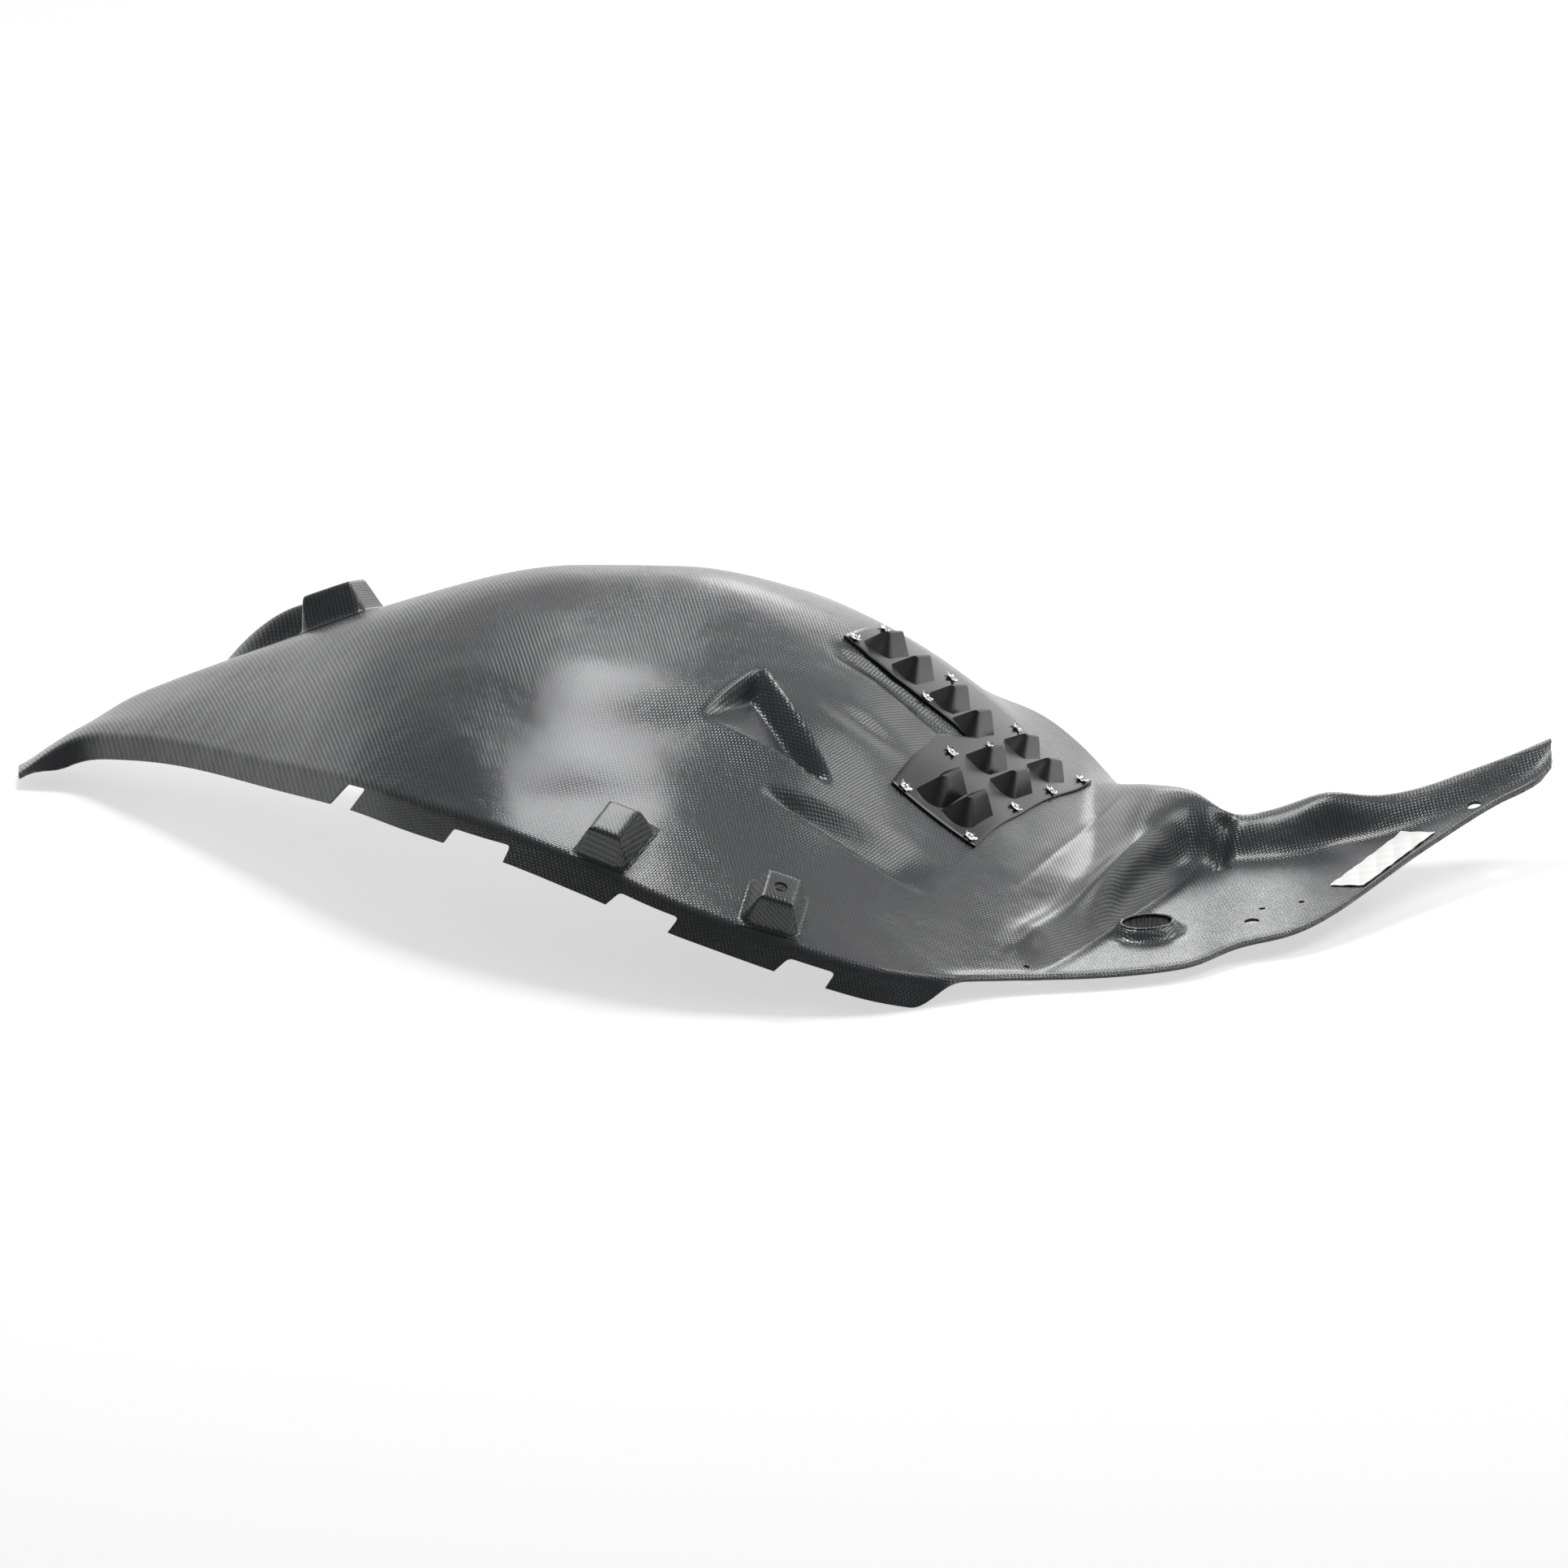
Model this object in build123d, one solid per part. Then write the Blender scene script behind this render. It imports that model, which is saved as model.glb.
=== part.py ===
from build123d import *
import math
import os

# Wheel arch liner: one thermoformed sheet with a riveted louvre plate.
# X runs along the liner, Y runs from the tabbed edge to the far edge, Z is up. Millimetres.

# Sheet
SHEET_T = 2.5
FLANGE_DROP = 25.0
FLANGE_TIP_DROP = 18.0
FLANGE_OUT = 8.0
FLANGE_END_X = 98.0
CREASE_R = 6.0
BRIM_W = 5.0
BRIM_DROP = 1.5
LIP_RISE = 5.0
LIP_WIDTH = 9.0

# Rear upstand and tray lip
REAR_RISE = 30.0
REAR_RISE_W = 26.0
REAR_FROM_X = -440.0
REAR_TO_X = -330.0

# Scoop pocket: rim from top to end, with its shallow side at the left corner
SCOOP_TOP = (-18.0, 281.0)
SCOOP_END = (42.0, 180.0)
SCOOP_LEFT = (-72.0, 214.0)
SCOOP_DEPTH = 15.0
SCOOP_WALL = 18.0

# Drain channel and the groove beside the vent
CHANNEL_A = (-6.0, 150.0)
CHANNEL_B = (88.0, 127.0)
CHANNEL_W = 9.0
CHANNEL_DEPTH = 6.0
GROOVE_A = (46.0, 337.0)
GROOVE_B = (136.0, 332.0)
GROOVE_W = 8.0
GROOVE_DEPTH = 4.0

# Soft dents in the dome: centre x, y, reach along x and y, depth
DENTS = [(66, 260, 30, 17, 3.5), (-105, 196, 55, 34, 4.0), (-150, 128, 60, 26, 3.0)]

# Fixing bosses
BOSS_H = 24.0
BOSS_TOP_L = 27.0
BOSS_TOP_W = 32.0
BOSS_BASE_L = 46.0
BOSS_BASE_W = 54.0
BOSS_EDGE_R = 4.0
BOSS_HOLE_D = 11.0
PLAIN_BOSS_AT = (-132.0, 83.0)
HOLED_BOSS_AT = (-8.0, 35.0)
REAR_BOSS_AT = (-345.0, 511.0)
REAR_BOSS_TURN = -28.0
REAR_BOSS_H = 27.0
REAR_BOSS_TOP_L = 42.0
REAR_BOSS_TOP_W = 28.0
REAR_BOSS_BASE_L = 60.0
REAR_BOSS_BASE_W = 44.0

# Cuts in the edge flange: notches by place and length, and one slot; both lean towards the tray end
NOTCHES = [(-244.0, 57.0), (-116.0, 53.0), (12.0, 38.0)]
NOTCH_DEPTH = 13.0
NOTCH_SLANT = 4.0
NOTCH_LEAN = 6.0
NOTCH_R = 4.0
SLOT_AT = -348.0
SLOT_L = 24.0
SLOT_DEPTH = 19.0
SLOT_SLANT = 4.0
SLOT_LEAN = 20.0

# Oval port and holes in the tray
PORT_AT = (284.0, 160.0)
PORT_TURN = 24.0
PORT_L = 40.0
PORT_W = 30.0
PORT_RIM = 8.0
PORT_H = 9.0
TRAY_HOLE_AT = (366.0, 176.0)
TAIL_HOLE_AT = (540.0, 340.0)
TRAY_HOLE_D = 12.0
SMALL_HOLE_AT = ((374.0, 203.0), (405.0, 210.0), (190.0, 66.0))
SMALL_HOLE_D = 5.0

# Louvre plate: outline in plan, one row of hood pairs for the strip and one pair per column below
PLATE_T = 2.0
SEAT_GAP = 0.3
PLATE_OUTLINE = [
    (47, 360), (82, 433), (132, 434), (182, 450), (241, 436), (213, 364), (186, 296), (150, 209),
    (85, 217), (121, 316), (147, 349), (86, 345), (66, 349),
]
PLATE_CORNER_R = 3.0
HOOD_PAIRS = [((60.5, 367), 1.0), ((111, 360), 1.0), ((170, 389), 0.9), ((140, 316), 1.0), ((101, 228), 1.15)]
HOOD_PITCH = 26.0
HOOD_SHIFT = -6.0
HOOD_YAW = -8.0
HOOD_H = 14.0
HOOD_WALL = 1.6
HOOD_BASE = [(0, 0), (12, -6), (27.5, 2), (40.5, 32), (16, 33)]
HOOD_TOP = [(11, 12), (12.3, 13), (14.5, 15.4), (23.5, 32.5), (20, 33.2)]
MOUTH_SKEW = 0.523
MOUTH_LEAN = 0.537
HOOD_SILL = 4.4
WINDOW_CLEAR = 1.0

# Peel rivets
RIVETS_AT = [
    (54, 364), (109.5, 350.5), (160, 356), (77, 414), (129, 416), (180, 430),
    (129, 303), (93, 222), (144, 216), (179, 297), (207, 364), (232, 430),
]
RIVET_D = 4.0
RIVET_SIDES = 12
RIVET_CLEAR = 0.3
RIVET_HEAD_D = 8.0
RIVET_HEAD_T = 1.2
RIVET_PETALS = 5
RIVET_PETAL_L = 3.6
RIVET_PETAL_W = 1.4
RIVET_PETAL_T = 1.0

# Blank label on the tray floor
LABEL_AT = (468.0, 268.0)
LABEL_TURN = 56.0
LABEL_L = 100.0
LABEL_W = 32.0
LABEL_T = 0.3
LABEL_GAP = 0.4
LABEL_STEP = 6.0

# Rails of the skin from the pointed end to the tray end: x, y, z
CREASE = [
    (-599, 533, 7), (-560, 534, 34), (-516, 488, 54), (-400, 318, 91), (-320, 200, 111),
    (-240, 122, 110), (-160, 66, 96), (-80, 22, 74), (60, -4, 33), (110, 10, 19), (160, 36, 6),
    (264, 56, 3), (320, 78, 3), (355, 116, 6), (395, 134, 9), (505, 270, 36), (550, 322, 49),
    (590, 360, 61), (600, 378, 70),
]
FOOT = [
    (-599, 541, 7), (-560, 546, 34), (-516, 514, 58), (-400, 375, 107), (-320, 272, 138),
    (-240, 213, 152), (-160, 171, 149), (0, 127, 101), (60, 130, 75), (160, 165, 36), (200, 120, 13),
    (240, 150, 5), (280, 250, 6), (320, 316, 8), (395, 310, 14), (428, 324, 20), (460, 318, 26),
    (505, 326, 37), (550, 352, 50), (590, 373, 63), (600, 384, 72),
]
SHOULDER = [
    (-599, 548, 6), (-560, 562, 30), (-470, 500, 83), (-400, 432, 117), (-320, 346, 162),
    (-160, 277, 197), (0, 255, 170), (60, 264, 146), (110, 284, 112), (160, 296, 74), (200, 235, 34),
    (240, 215, 26), (264, 255, 33), (320, 342, 40), (355, 332, 29), (395, 332, 35), (428, 340, 46),
    (460, 338, 44), (505, 350, 52), (590, 386, 71), (600, 391, 76),
]
CROWN = [
    (-599, 555, 5), (-560, 577, 24), (-516, 565, 55), (-470, 535, 83), (-400, 490, 124),
    (-320, 420, 174), (-160, 385, 222), (-80, 385, 221), (60, 400, 175), (110, 422, 140),
    (160, 440, 97), (200, 440, 58), (220, 430, 40), (242, 420, 30), (280, 376, 50),
    (320, 366, 52), (355, 345, 36), (395, 350, 43), (428, 350, 54), (460, 352, 51), (600, 398, 79),
]
FAR_EDGE = [
    (-599, 563, 3), (-580, 582, 6), (-560, 598, 10), (-516, 622, 33), (-400, 590, 88),
    (-320, 560, 130), (-160, 542, 171), (-80, 542, 170), (0, 547, 158), (110, 562, 101),
    (160, 564, 63), (200, 556, 49), (240, 525, 26), (264, 480, 12), (280, 465, 4),
    (320, 394, 30), (355, 358, 31), (395, 362, 40), (428, 361, 52), (460, 360, 47), (550, 390, 64),
    (600, 405, 80),
]
FAIRING = 18.0
SECTION_FAIRING = 12.0
SLAB_STEP = 18.0
TIP_X = CREASE[0][0]
TAIL_X = CREASE[-1][0]


def spline(xs, ys):
    """Monotone cubic through the given stations."""
    n = len(xs)
    h = [xs[i + 1] - xs[i] for i in range(n - 1)]
    d = [(ys[i + 1] - ys[i]) / h[i] for i in range(n - 1)]
    m = [d[0]] + [0.0] * (n - 2) + [d[-1]]
    for i in range(1, n - 1):
        if d[i - 1] * d[i] > 0:
            w1 = 2 * h[i] + h[i - 1]
            w2 = h[i] + 2 * h[i - 1]
            m[i] = (w1 + w2) / (w1 / d[i - 1] + w2 / d[i])

    def value(x):
        i = 0
        while i < n - 2 and x > xs[i + 1]:
            i += 1
        t = (x - xs[i]) / h[i]
        a = (1 + 2 * t) * (1 - t) ** 2 * ys[i] + t * (1 - t) ** 2 * h[i] * m[i]
        return a + t * t * (3 - 2 * t) * ys[i + 1] + t * t * (t - 1) * h[i] * m[i + 1]

    return value


def faired(curve, start, end, reach):
    """The same curve with its changes of slope spread over the given reach."""

    def value(x):
        span = max(0.0, min(reach, x - start, end - x))
        taps = ((-1.0, 1), (-0.5, 4), (0.0, 6), (0.5, 4), (1.0, 1))
        return sum(w * curve(x + k * span) for k, w in taps) / 16

    return value


def rail(points):
    xs = [p[0] for p in points]
    curves = [spline(xs, [p[k] for p in points]) for k in (1, 2)]
    return [faired(curve, TIP_X, TAIL_X, FAIRING) for curve in curves]


RAILS = [rail(points) for points in (CREASE, FOOT, SHOULDER, CROWN, FAR_EDGE)]
near_y = RAILS[0][0]
far_y = RAILS[4][0]
SECTIONS = {}

# Lofted stretches of the sheet: from, to, sections
STRETCHES = [
    (TIP_X, -540, 6), (-540, -420, 7), (-420, -300, 8), (-300, -90, 10), (-90, 10, 11), (10, 110, 10),
    (110, 160, 7), (160, 200, 6), (200, 240, 7), (240, 262, 5), (262, 284, 5), (284, 306, 5),
    (306, 330, 5), (330, 400, 7), (400, 470, 7), (470, 535, 6), (535, TAIL_X, 7),
]


def step(a, b, v):
    t = min(1.0, max(0.0, (v - a) / (b - a)))
    return t * t * (3 - 2 * t)


def base_z(x, y):
    key = round(x, 4)
    if key not in SECTIONS:
        ys = [r[0](x) for r in RAILS]
        SECTIONS[key] = faired(spline(ys, [r[1](x) for r in RAILS]), ys[0], ys[-1], SECTION_FAIRING)
    return SECTIONS[key](y)


def side(p, q, x, y):
    """Distance of (x, y) to the left of the line from p to q."""
    dx, dy = q[0] - p[0], q[1] - p[1]
    return (dx * (y - p[1]) - dy * (x - p[0])) / math.hypot(dx, dy)


def along(p, q, x, y):
    """Share of the way from p to q."""
    dx, dy = q[0] - p[0], q[1] - p[1]
    return ((x - p[0]) * dx + (y - p[1]) * dy) / (dx * dx + dy * dy)


def trench(a, b, width, depth, x, y):
    run = along(a, b, x, y)
    ends = step(-0.18, 0.08, run) * step(1.18, 0.92, run)
    return depth * ends * math.exp(-(side(a, b, x, y) / width) ** 2)


def scoop(x, y):
    rim = -side(SCOOP_TOP, SCOOP_END, x, y)
    shallow = side(SCOOP_LEFT, SCOOP_END, x, y)
    back = -side(SCOOP_LEFT, SCOOP_TOP, x, y)
    if rim <= 0 or shallow <= 0 or back <= 0:
        return 0.0
    fall = shallow / (shallow + max(0.0, rim - SCOOP_WALL))
    return SCOOP_DEPTH * step(0, SCOOP_WALL, rim) * fall * step(0, 20, back) * step(0, 16, shallow)


def skin_z(x, y):
    """Height of the upper face of the sheet."""
    z = base_z(x, y) - scoop(x, y)
    z -= trench(CHANNEL_A, CHANNEL_B, CHANNEL_W, CHANNEL_DEPTH, x, y)
    z -= trench(GROOVE_A, GROOVE_B, GROOVE_W, GROOVE_DEPTH, x, y)
    for cx, cy, rx, ry, depth in DENTS:
        z -= depth * math.exp(-((x - cx) / rx) ** 2 - ((y - cy) / ry) ** 2)
    if x > FLANGE_END_X:
        lip = math.exp(-((y - near_y(x)) / LIP_WIDTH) ** 2)
        z += LIP_RISE * lip * step(FLANGE_END_X, FLANGE_END_X + 60, x) * step(TAIL_X, TAIL_X - 40, x)
    if REAR_FROM_X < x < REAR_TO_X:
        share = math.sin(math.pi * (x - REAR_FROM_X) / (REAR_TO_X - REAR_FROM_X)) ** 0.8
        z += REAR_RISE * share * step(far_y(x) - REAR_RISE_W, far_y(x), y)
    return z


def normal_of(surface, x, y):
    e = 1.5
    zx = (surface(x + e, y) - surface(x - e, y)) / (2 * e)
    zy = (surface(x, y + e) - surface(x, y - e)) / (2 * e)
    return Vector(-zx, -zy, 1).normalized()


def lifted(surface, x, y, lift):
    return Vector(x, y, surface(x, y)) + normal_of(surface, x, y) * lift


def spread(a, b, n):
    return [a + (b - a) * i / (n - 1) for i in range(n)]


def flange(x):
    """Reach of the edge flange from the crease: a deep skirt on the dome, a short brim on the tray."""
    full = step(FLANGE_END_X + 44, FLANGE_END_X, x) * step(TIP_X, TIP_X + 38, x)
    drop = FLANGE_TIP_DROP + (FLANGE_DROP - FLANGE_TIP_DROP) * step(-480, -290, x)
    return Vector(0, -FLANGE_OUT * full - BRIM_W * (1 - full), -drop * full - BRIM_DROP * (1 - full))


def section(x):
    """Upper face of the sheet in one plane of X, from the free edge of the flange to the far edge."""
    near, far = near_y(x), far_y(x)
    corner = Vector(x, near, skin_z(x, near))
    tip = corner + flange(x)
    bend = min(CREASE_R, 0.3 * flange(x).length, 0.2 * (far - near))
    low = corner + (tip - corner).normalized() * bend
    high = Vector(x, near + bend, skin_z(x, near + bend))
    points = [tip, tip + (low - tip) * 0.5, low]
    points += [low * 0.36 + corner * 0.28 + high * 0.36, high]
    foot, shoulder, crown = (r[0](x) for r in RAILS[1:4])
    scale = min(1.0, (foot - high.Y) / 60, (far - crown) / 40)
    ease = [high.Y + d * scale for d in (5, 11, 18, 27)]
    rear = [far - d * scale for d in (20, 13, 6, 0)]
    ys = ease + spread(ease[-1], foot, 7)[1:] + spread(foot, shoulder, 12)[1:]
    ys += spread(shoulder, crown, 10)[1:] + spread(crown, rear[0], 7)[1:-1] + rear
    return points + [Vector(x, y, skin_z(x, y)) for y in ys]


def tangent(row, j):
    back = row[j] - row[j - 1] if j else row[1] - row[0]
    fore = row[j + 1] - row[j] if j + 1 < len(row) else back
    return back.normalized() * fore.length + fore.normalized() * back.length


def under(x):
    """Lower face at the same station, one sheet thickness away."""
    row = section(x)
    e = min(2.0, x - TIP_X, TAIL_X - x)
    ahead, behind = section(x + e), section(x - e)
    lower = []
    for j, p in enumerate(row):
        across = tangent(row, j)
        flat = Vector(0, -across.Z, across.Y).normalized()
        true = (ahead[j] - behind[j]).cross(across).normalized() if e else flat
        lower.append(p - flat * (SHEET_T / max(0.75, flat.dot(true))))
    return lower


def pace(rows):
    """Mean share of the way along the rows at each of their points."""
    shares = [0.0] * len(rows[0])
    for row in rows:
        runs = [(q - p).length for p, q in zip(row, row[1:])]
        for j in range(1, len(row)):
            shares[j] += sum(runs[:j]) / sum(runs) / len(rows)
    return shares


def closed_wire(upper, lower, shares):
    """Outline of one section; sections with the same shares loft into plain, even faces."""
    ends = [Edge.make_line(upper[-1], lower[-1]), Edge.make_line(lower[0], upper[0])]
    back = [1 - share for share in shares[::-1]]
    top = Edge.make_spline(upper, parameters=shares)
    bottom = Edge.make_spline(lower[::-1], parameters=back)
    return Wire([top, ends[0], bottom, ends[1]])


def sheet():
    """The sheet as one solid, lofted along X in stretches that share their end sections."""
    faces = []
    shares = pace([section(x) for x in spread(TIP_X + FAIRING, TAIL_X - FAIRING, 30)])
    for start, end, count in STRETCHES:
        wires = [closed_wire(section(x), under(x), shares) for x in spread(start, end, count)]
        inside = [x for x in (start, end) if TIP_X < x < TAIL_X]
        for face in Solid.make_loft(wires).faces():
            box = face.bounding_box()
            if box.size.X > 0.01 or all(abs(box.min.X - x) > 0.01 for x in inside):
                faces.append(face)
    return Solid(Shell(faces))


def slab(x0, x1, y0, y1, low, high, surface, pitch=SLAB_STEP):
    """A block that follows the given surface between two lifts."""
    wires = []
    for x in spread(x0, x1, max(4, round((x1 - x0) / pitch))):
        ys = spread(y0, y1, max(6, round((y1 - y0) / pitch)))
        upper = [Vector(x, y, surface(x, y) + high / normal_of(surface, x, y).Z) for y in ys]
        lower = [Vector(x, y, surface(x, y) + low / normal_of(surface, x, y).Z) for y in ys]
        wires.append(closed_wire(upper, lower, spread(0.0, 1.0, len(ys))))
    return Solid.make_loft(wires)


def frame_at(x, y, heading, lift=0.0, surface=skin_z):
    """Plane on the surface, its x axis along the given plan heading in degrees."""
    normal = normal_of(surface, x, y)
    turn = math.radians(heading)
    ahead = Vector(math.cos(turn), math.sin(turn), 0)
    ahead = (ahead - normal * ahead.dot(normal)).normalized()
    return Plane(origin=lifted(surface, x, y, lift), x_dir=ahead, z_dir=normal)


def frustum(plane, base, top, low, height, round_r):
    """Rounded frustum whose base size holds at the plane."""
    grow = [b + (b - t) * -low / height for b, t in zip(base, top)]
    foot = plane.offset(low) * RectangleRounded(grow[0], grow[1], round_r)
    head = plane.offset(height) * RectangleRounded(top[0], top[1], round_r)
    return loft([foot, head], ruled=True)


def boss(at, heading, base, top, height):
    """Outer form, hollow and seat plane of one pressed boss."""
    plane = frame_at(*at, heading)
    outer = frustum(plane, base, top, -8, height, 1.6 * BOSS_EDGE_R)
    crown = outer.faces().sort_by(lambda f: (f.center() - plane.origin).dot(plane.z_dir))[-1]
    outer = chamfer(crown.edges(), BOSS_EDGE_R / 2)
    base_in = [size - 2.2 * SHEET_T for size in base]
    top_in = [size - 2.2 * SHEET_T for size in top]
    inner = frustum(plane, base_in, top_in, -14, height - SHEET_T, 1.2 * BOSS_EDGE_R)
    return outer & above_middle(at, 0.75 * max(base), height), inner, plane


def above_middle(at, reach, height):
    """The space over the middle of the sheet, to keep an added form from showing underneath."""
    x, y = at
    return slab(x - reach, x + reach, y - reach, y + reach, -0.5 * SHEET_T, 3 * height, skin_z)


def port():
    """Outer form, hollow and opening of the raised oval port."""
    plane = frame_at(*PORT_AT, PORT_TURN)
    rx, ry = PORT_L / 2 + PORT_RIM, PORT_W / 2 + PORT_RIM
    draft = 0.4 * PORT_H
    levels = ((-6, draft * (1 + 6 / PORT_H)), (PORT_H, 0.0))
    outer = loft([plane.offset(h) * Ellipse(rx + d, ry + d) for h, d in levels], ruled=True)
    levels = ((-12, draft * (1 + 12 / PORT_H) - SHEET_T), (PORT_H - SHEET_T, -SHEET_T))
    inner = loft([plane.offset(h) * Ellipse(rx + d, ry + d) for h, d in levels], ruled=True)
    opening = extrude(plane * Ellipse(PORT_L / 2, PORT_W / 2), 3 * PORT_H)
    return outer & above_middle(PORT_AT, rx + 3 * draft, PORT_H), inner, opening


def heading_of_edge(x):
    return math.degrees(math.atan2(near_y(x + 5) - near_y(x - 5), 10))


def drill(plane, diameter, depth=60.0):
    return plane * Cylinder(diameter / 2, depth)


def edge_cut(x, width, depth, slant, lean):
    """Cutter for one notch in the edge flange, measured up from the free edge, its head moved by the lean."""
    heading = math.radians(heading_of_edge(x))
    edge = section(x)[0]
    ahead = section(x + 3)[0] - section(x - 3)[0]
    outward = Vector(math.sin(heading), -math.cos(heading), 0)
    plane = Plane(origin=edge, x_dir=ahead, z_dir=outward)
    w = width / 2
    low = -12.0
    foot = w + slant
    back = lean * low / depth
    shape = Polyline((back - foot, low), (lean - w, depth), (lean + w, depth), (back + foot, low), close=True)
    prism = extrude(plane * make_face(shape), 16, both=True)
    corners = [e for e in prism.edges() if abs(e.tangent_at(0).dot(outward)) > 0.99]
    return fillet(corners, min(NOTCH_R, 0.4 * width))


def prism(outline, corner_r):
    """Tall upright prism over a plan outline."""
    shape = extrude(make_face(Polyline(*outline, close=True)), 400)
    return fillet(shape.edges().filter_by(Axis.Z), corner_r)


def inset(points, walls):
    """The outline with each side, from its point to the next, moved inwards by its own wall."""
    count = len(points)
    moved = []
    for i in range(count):
        lines = []
        for k in (i - 1, i):
            p, q = Vector(*points[k]), Vector(*points[(k + 1) % count])
            run = (q - p).normalized()
            lines.append((p + Vector(-run.Y, run.X) * walls[k], run))
        (p, u), (q, v) = lines
        gap = q - p
        share = (gap.X * v.Y - gap.Y * v.X) / (u.X * v.Y - u.Y * v.X)
        moved.append(p + u * share)
    return moved


def hood_face(points, height):
    """One level of a hood: a curved flank, the flat cheek, the end and the mouth side."""
    low, mid, crease, right, rear = [Vector(p[0], p[1], height) for p in points]
    curve = Edge.make_spline([low, mid, crease])
    sides = [Edge.make_line(p, q) for p, q in ((crease, right), (right, rear), (rear, low))]
    return Face(Wire([curve, *sides]))


def flat_face(points, height):
    return make_face(Polyline(*[Vector(p.X, p.Y, height) for p in points], close=True))


def hood(size):
    """Shell, hollow, throat and liner opening of one louvre in its own frame."""
    base = [(size * a, size * b) for a, b in HOOD_BASE]
    top = [(size * a, size * b) for a, b in HOOD_TOP]
    height = size * HOOD_H
    outer = loft([hood_face(base, -0.5 * PLATE_T), hood_face(top, height)], ruled=True)
    mouth = Plane(origin=(0, 0, HOOD_SILL), z_dir=(1, -MOUTH_SKEW, -MOUTH_LEAN))
    outer = split(outer, bisect_by=mouth, keep=Keep.TOP)
    open_side = [HOOD_WALL] * 4 + [-0.1 * height]
    levels = [flat_face(inset(base, open_side), 0.0), flat_face(inset(top, open_side), height - HOOD_WALL)]
    hollow = loft(levels, ruled=True)
    throat, window = (
        extrude(flat_face(inset(base, [wall] * 5), -8 * PLATE_T), 8 * PLATE_T + 0.5)
        for wall in (HOOD_WALL, HOOD_WALL - WINDOW_CLEAR)
    )
    return outer, hollow, throat, window


def hood_places():
    """Seat of every louvre: five pairs, the second of each one pitch down the slope."""
    for (x, y), size in HOOD_PAIRS:
        for count in range(2):
            first = frame_at(x, y, HOOD_YAW, 0, base_z)
            ahead = (first.x_dir * HOOD_PITCH + first.y_dir * HOOD_SHIFT) * count
            px, py = x + ahead.X, y + ahead.Y
            middle = frame_at(px + 16 * size, py + 20 * size, HOOD_YAW, 0, base_z)
            seat = lifted(base_z, px, py, SEAT_GAP + PLATE_T)
            yield Plane(origin=seat, x_dir=middle.x_dir, z_dir=middle.z_dir), size


def star(reach, waist):
    """Outline of the spread petals."""
    spots = []
    for k in range(2 * RIVET_PETALS):
        turn = math.pi * k / RIVET_PETALS
        r = waist if k % 2 else reach
        spots.append((r * math.cos(turn), r * math.sin(turn)))
    return make_face(Polyline(*spots, close=True))


def rivet_seat(x, y):
    return frame_at(x, y, 37 * x, 0, base_z)


def rivet_hole(x, y):
    """Drilling for one rivet through the plate and the sheet."""
    round_hole = RegularPolygon((RIVET_D + RIVET_CLEAR) / 2, RIVET_SIDES)
    return extrude(rivet_seat(x, y) * round_hole, 15, both=True)


def rivet(x, y):
    """Peel rivet: a flat head under the sheet, the shank and the petals spread over the plate."""
    plane = rivet_seat(x, y)
    under_side = -SHEET_T - SEAT_GAP
    over = SEAT_GAP + PLATE_T + SEAT_GAP
    disc = RegularPolygon(RIVET_HEAD_D / 2, RIVET_SIDES)
    stem = RegularPolygon(RIVET_D / 2, RIVET_SIDES)
    head = Pos(0, 0, under_side - RIVET_HEAD_T) * extrude(disc, RIVET_HEAD_T)
    shank = Pos(0, 0, under_side) * extrude(stem, over - under_side)
    waist = RIVET_D / 2 + 0.5 * RIVET_PETAL_W
    reach = RIVET_D / 2 + RIVET_PETAL_L
    petals = Pos(0, 0, over) * extrude(star(reach, waist), RIVET_PETAL_T)
    return plane.location * head.fuse(shank, petals)


# Liner
liner = sheet()
forms = []
cuts = []
edge_boss = ((BOSS_BASE_L, BOSS_BASE_W), (BOSS_TOP_L, BOSS_TOP_W), BOSS_H)
rear_boss = ((REAR_BOSS_BASE_L, REAR_BOSS_BASE_W), (REAR_BOSS_TOP_L, REAR_BOSS_TOP_W), REAR_BOSS_H)
for at, heading, sizes, holed in (
    (PLAIN_BOSS_AT, heading_of_edge(PLAIN_BOSS_AT[0]), edge_boss, False),
    (HOLED_BOSS_AT, heading_of_edge(HOLED_BOSS_AT[0]), edge_boss, True),
    (REAR_BOSS_AT, REAR_BOSS_TURN, rear_boss, True),
):
    outer, inner, plane = boss(at, heading, *sizes)
    forms.append(outer)
    cuts.append(inner)
    if holed:
        cuts.append(drill(plane.offset(sizes[2]), BOSS_HOLE_D, 6 * SHEET_T))
port_form, port_hollow, port_opening = port()
forms.append(port_form)
cuts += [port_hollow, port_opening]
cuts += [edge_cut(x, length, NOTCH_DEPTH, NOTCH_SLANT, NOTCH_LEAN) for x, length in NOTCHES]
cuts.append(edge_cut(SLOT_AT, SLOT_L, SLOT_DEPTH, SLOT_SLANT, SLOT_LEAN))
cuts += [drill(frame_at(*at, 0), TRAY_HOLE_D) for at in (TRAY_HOLE_AT, TAIL_HOLE_AT)]
cuts += [drill(frame_at(*at, 0), SMALL_HOLE_D) for at in SMALL_HOLE_AT]
rivet_holes = [rivet_hole(*at) for at in RIVETS_AT]

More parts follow.
